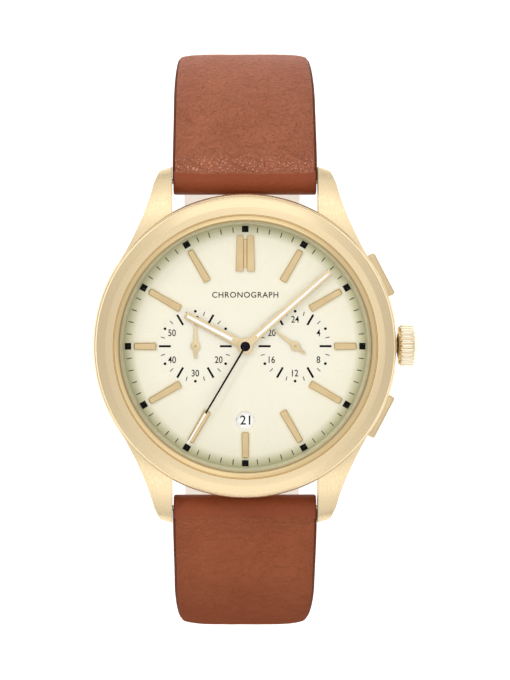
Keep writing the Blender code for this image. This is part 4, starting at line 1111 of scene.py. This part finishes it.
def make_upper_strap():
    beyond = [(12.0, UPPER_LEVEL), (6.5, UPPER_LEVEL), (BUCKLE_BAR_Y, UPPER_LEVEL)]
    points = route_corners(UPPER_LEVEL, beyond, None)
    widths = [(0, STRAP_WIDTH), (12, 20.6), (30, 19.4), (70, STRAP_END_WIDTH)]
    stops = [(0, 3.55), (1.3, 3.6), (3.4, 4.25), (9, 4.15), (30, 3.4), (60, 2.2)]
    strap = make_strap("upper_leather", 1, points, widths, stops, 0.26, 0, 1.0)
    for_slots(strap)
    lug_fold(strap, 1)
    low = UPPER_LEVEL - LIFT
    half = STRAP_END_WIDTH / 2 - 0.02
    fold = revolve("end_fold", pin([(1.38, half), (1.38, -half)], 0.3, 4), 64, closed=False)
    fold.data.transform(Matrix.Translation((0, BUCKLE_BAR_Y, low)) @ Matrix.Rotation(math.pi / 2, 4, "Y"))
    weld(strap, fold)
    cut(strap, rod("buckle_channel", 0.78, -12, 12, axis="X", steps=40, at=(0, BUCKLE_BAR_Y, low)))
    cut(strap, box("tang_slot", (-1.3, BUCKLE_BAR_Y - 3, low - 3), (1.3, BUCKLE_BAR_Y + 2.6, low + 3)))
    settle(strap, "upper_strap", UPPER_LOOKS, ["strap_12h"], sharp=50)


def for_slots(made):
    """Gives the mesh its four slots before the folds are joined to it."""
    for look in UPPER_LOOKS:
        made.data.materials.append(look)


def make_lower_strap():
    dip = []
    start, end = (8.6, LOWER_LEVEL), (-0.6, TAIL_LEVEL)
    for i in range(25):
        t = i / 24
        smooth = t * t * (3 - 2 * t)
        dip.append((start[0] + (end[0] - start[0]) * t, start[1] + (end[1] - start[1]) * smooth))
    flat_end = STRAP_REACH - BOTTOM_RADIUS
    beyond = [*dip, (-6.0, TAIL_LEVEL), (-12.0, TAIL_LEVEL), (-flat_end, TAIL_LEVEL)]
    radius = BOTTOM_RADIUS + UPPER_LEVEL - TAIL_LEVEL
    used = evenly(route_corners(LOWER_LEVEL, beyond, None), STATION)[-1][2]
    points = route_corners(LOWER_LEVEL, beyond, ((LOWER_LENGTH - used) / radius, radius))
    widths = [(0, STRAP_WIDTH), (12, 20.5), (28, 18.9), (60, STRAP_END_WIDTH)]
    stops = [(0, 3.6), (1.5, 3.65), (4.5, 4.15), (9, 4.1), (30, 3.4), (62, 2.1), (85, 2.0)]
    strap = make_strap("lower_leather", -1, points, widths, stops, 0.42, 6.0, 0.7)
    for_slots(strap)
    lug_fold(strap, -1)
    slot = []
    for centre, start_angle in ((1.35, 0), (-1.35, 180)):
        for i in range(13):
            a = math.radians(start_angle + 15 * i)
            slot.append((1.05 * math.cos(a), TANG_HOLE_Y + centre + 1.05 * math.sin(a)))
    cut(strap, prism("tang_hole", slot, -LIFT - 1, 7 - LIFT))
    for step in (-2, -1, 1, 2, 3):
        y = TANG_HOLE_Y + HOLE_PITCH * step
        cut(strap, rod("strap_hole", 0.9, -LIFT - 1, 7 - LIFT, steps=32, at=(0, y, 0)))
    settle(strap, "lower_strap", LOWER_LOOKS, ["strap_6h"], sharp=50)


# ---------------------------------------------------------------- buckle and keepers
def make_buckle():
    far = -9.9
    eye = [compass(a, 1.3, (BUCKLE_BAR_Y, UPPER_LEVEL)) for a in range(150, -51, -10)]
    outline = [(far + 0.3, 0), (far + 2.4, 0), *eye, (far + 2.6, 2.2), (far + 2.0, 1.9),
               (far + 0.2, 1.9), (far, 1.5), (far, 0.3)]
    made = prism("buckle_loop", [(y, z - LIFT) for y, z in outline], -11.4, 11.4, axis="X")
    cut(made, box("window", (-9.5, far + 2.2, -1 - LIFT), (9.5, 8, 8 - LIFT)))
    soften(made, 0.3, 4, 40)
    cut(made, box("tang_rest", (-1.1, far - 1, -1 - LIFT), (1.1, far + 4, 1.15 - LIFT)))
    cut(made, rod("bar_hole", 0.45, -10.7, 10.7, axis="X", steps=24,
                  at=(0, BUCKLE_BAR_Y, UPPER_LEVEL - LIFT)))
    settle(made, "buckle", POLISHED_GOLD, ["buckle_frame"])


def make_tang():
    middle = evenly([(2.2, 0), (0.3, -0.35), (-2.8, -0.8), (-4.2, -1.9), (-5.4, -3.0), (-7.2, -3.72),
                     (-12.2, -4.02)], 0.4)
    half = 0.46
    top, under = [], []
    for i, (y, z, _) in enumerate(middle):
        a, b = middle[max(i - 1, 0)], middle[min(i + 1, len(middle) - 1)]
        size = math.dist(a[:2], b[:2])
        ny, nz = -(b[1] - a[1]) / size * half, (b[0] - a[0]) / size * half
        top.append((y - ny, z - nz))
        under.append((y + ny, z + nz))
    outline = [(1.0, 0.45)] + top[4:] + list(reversed(under[4:])) + [(1.0, -0.65)]
    tang = prism("buckle_tongue", outline, -0.83, 0.83, axis="X")
    weld(tang, rod("tang_eye", 1.23, -0.93, 0.93, axis="X", steps=48))
    soften(tang, 0.2, 4, 40)
    cut(tang, rod("tang_bore", 0.78, -2, 2, axis="X", steps=40))
    shift(tang, (0, BUCKLE_BAR_Y, UPPER_LEVEL - LIFT))
    settle(tang, "tang", POLISHED_GOLD, ["buckle_tang"])


def make_keeper(name, node, body):
    """A leather loop with rolled edges round both layers of the strap."""
    low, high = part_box(node)
    middle = (low.y + high.y) / 2 / MM
    length = (high.y - low.y) / MM
    half = STRAP_END_WIDTH / 2 + 0.45
    top = high.z / MM - 1.0
    loop = box(name, (-half - 1.0, -length / 2, 0), (half + 1.0, length / 2, top + 1.0))
    soften(loop, 0.45, 5)
    cut(loop, box("opening", (-half, -length, 1.0), (half, length, top)))
    shift(loop, (0, middle, -LIFT))
    settle(loop, body, SHADED_FOLD_LEATHER, [node], sharp=50)


def make_pusher_springs():
    """Return springs of the pushers, held by the case at their inner end."""
    for tag in ("2h", "4h"):
        node = f"pusher_spring_{tag}"
        mesh = NODES[node].data.copy()
        mesh.materials.clear()
        mesh.materials.append(BRUSHED_STEEL)
        spring = bpy.data.objects.new(f"return_spring_{tag}", mesh)
        bpy.context.scene.collection.objects.link(spring)
        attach(spring, "case")
        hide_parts(node)
        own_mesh(spring)


# ---------------------------------------------------------------- carried-over CAD nodes
def dress_nodes():
    looks = {f"index_{hour:02d}": INDEX_GOLD for hour in range(1, 13)}
    for name in ("case_back", "train_bridge", "battery", "battery_clamp", "stator", "rotor",
                 "setting_pinion", "winding_stem", "setting_lever", "spring_bar_12h",
                 "spring_bar_6h", "buckle_spring_bar"):
        looks[name] = BRUSHED_STEEL
    for name in ("main_plate", "centre_wheel", "hour_wheel", "minute_wheel", "chrono_seconds_wheel",
                 "chrono_minutes_wheel", "day_night_wheel"):
        looks[name] = MOVEMENT_BRASS
    looks["coil"] = WINDING_COPPER
    looks["circuit_board"] = CIRCUIT
    looks["movement_holder"] = NYLON
    looks["case_back_gasket"] = RUBBER
    looks["crown_gasket"] = RUBBER
    for name, look in looks.items():
        mesh = NODES[name].data
        mesh.materials.clear()
        mesh.materials.append(look)


# ---------------------------------------------------------------- stage
def make_floor():
    shape = bmesh.new()
    bmesh.ops.create_grid(shape, x_segments=1, y_segments=1, size=1.5)
    mesh = bpy.data.meshes.new("floor")
    shape.to_mesh(mesh)
    shape.free()
    floor = bpy.data.objects.new("floor", mesh)
    bpy.context.scene.collection.objects.link(floor)
    look = Look("floor_white", (0.95, 0.95, 0.95), 0.9)
    look.put("Emission Color", (1.0, 1.0, 1.0, 1.0))
    look.put("Emission Strength", 0.5)
    mesh.materials.append(look.material)


def area_light(name, at, size, power, colour=(1, 1, 1), glossy=True):
    """A soft box, places in metres, facing the watch's dial. glossy says if gold reflects it."""
    lamp = bpy.data.lights.new(name, "AREA")
    lamp.shape = "RECTANGLE"
    lamp.size, lamp.size_y = size
    lamp.energy = power
    lamp.color = colour
    made = bpy.data.objects.new(name, lamp)
    made.location = at
    aim = Vector((AXIS.x, 0, LIFT * MM)) - Vector(at)
    made.rotation_euler = aim.to_track_quat("-Z", "Y").to_euler()
    made.visible_glossy = glossy
    bpy.context.scene.collection.objects.link(made)


def make_world():
    """Soft white surroundings, brighter towards 12 and 6 o'clock and dimmer towards 3 and 9."""
    world = bpy.data.worlds.new("studio")
    bpy.context.scene.world = world
    world.use_nodes = True
    nodes, links = world.node_tree.nodes, world.node_tree.links
    background = nodes["Background"]
    background.inputs["Color"].default_value = (1.0, 0.995, 0.985, 1.0)
    parts = nodes.new("ShaderNodeSeparateXYZ")
    links.new(nodes.new("ShaderNodeTexCoord").outputs["Generated"], parts.inputs["Vector"])
    total = None
    for axis, near, far, strength in WORLD_LOBES:
        size = nodes.new("ShaderNodeMath")
        size.operation = "ABSOLUTE"
        links.new(parts.outputs[axis], size.inputs[0])
        lobe = nodes.new("ShaderNodeMapRange")
        lobe.interpolation_type = "SMOOTHSTEP"
        lobe.inputs["From Min"].default_value = near
        lobe.inputs["From Max"].default_value = far
        lobe.inputs["To Max"].default_value = strength
        links.new(size.outputs["Value"], lobe.inputs["Value"])
        add = nodes.new("ShaderNodeMath")
        add.inputs[1].default_value = WORLD_LEVEL
        if total is not None:
            links.new(total, add.inputs[1])
        links.new(lobe.outputs["Result"], add.inputs[0])
        total = add.outputs["Value"]
    links.new(total, background.inputs["Strength"])


WARM = (1.0, 0.985, 0.96)


def make_lights():
    area_light("key_12h", (0.0, 0.42, 0.55), (0.5, 0.25), 0.26, WARM)
    area_light("key_6h", (0.0, -0.42, 0.55), (0.5, 0.25), 0.2, WARM)
    area_light("overhead", (0.12, 0.1, 0.8), (0.5, 0.5), 0.22)
    area_light("key_10h", (-0.34, 0.30, 0.45), (0.11, 0.11), 0.62, glossy=False)


WORLD_LEVEL = 0.45
WORLD_LOBES = (("Z", 0.05, 0.5, 0.47), ("Y", 0.15, 0.75, 0.16), ("X", 0.2, 0.85, -0.14))
CAMERA_DISTANCE = 0.45
VIEW_HEIGHT = 0.0965            # what the frame takes in at the level of the bezel
TILT_12H = 2.0                  # the camera stands this far towards 12 o'clock
TILT_9H = 0.8                   # and this far towards 9 o'clock
AIM = (1.35, 1.0)               # the picture's centre, from the hands' axis


def make_camera():
    lens = bpy.data.cameras.new("camera")
    lens.sensor_width = 36.0
    lens.lens = 36.0 * CAMERA_DISTANCE / VIEW_HEIGHT
    lens.clip_start = 0.01
    camera = bpy.data.objects.new("camera", lens)
    target = Vector((AXIS.x + AIM[0] * MM, AIM[1] * MM, (LIFT + BEZEL_TOP) * MM))
    away = Vector((-math.tan(math.radians(TILT_9H)), math.tan(math.radians(TILT_12H)), 1)).normalized()
    camera.location = target + away * CAMERA_DISTANCE
    right = Vector((0, 1, 0)).cross(away).normalized()
    up = away.cross(right)
    camera.rotation_euler = Matrix((right, up, away)).transposed().to_euler()
    bpy.context.scene.collection.objects.link(camera)
    bpy.context.scene.camera = camera


# ---------------------------------------------------------------- the watch
make_camera()
make_case()
make_bezel()
make_crystal()
make_flange()
make_dial()
make_print()
make_date_ring()
make_hands()
make_crown()
make_pusher(1)
make_pusher(-1)
make_upper_strap()
make_lower_strap()
make_buckle()
make_tang()
make_keeper("keeper_loop_fixed", "keeper_fixed", "upper_strap")
make_keeper("keeper_loop_free", "keeper_free", "loose_keeper")
make_pusher_springs()
dress_nodes()
make_floor()
make_world()
make_lights()
bpy.context.scene.view_settings.view_transform = "Standard"


bpy.context.view_layer.update()
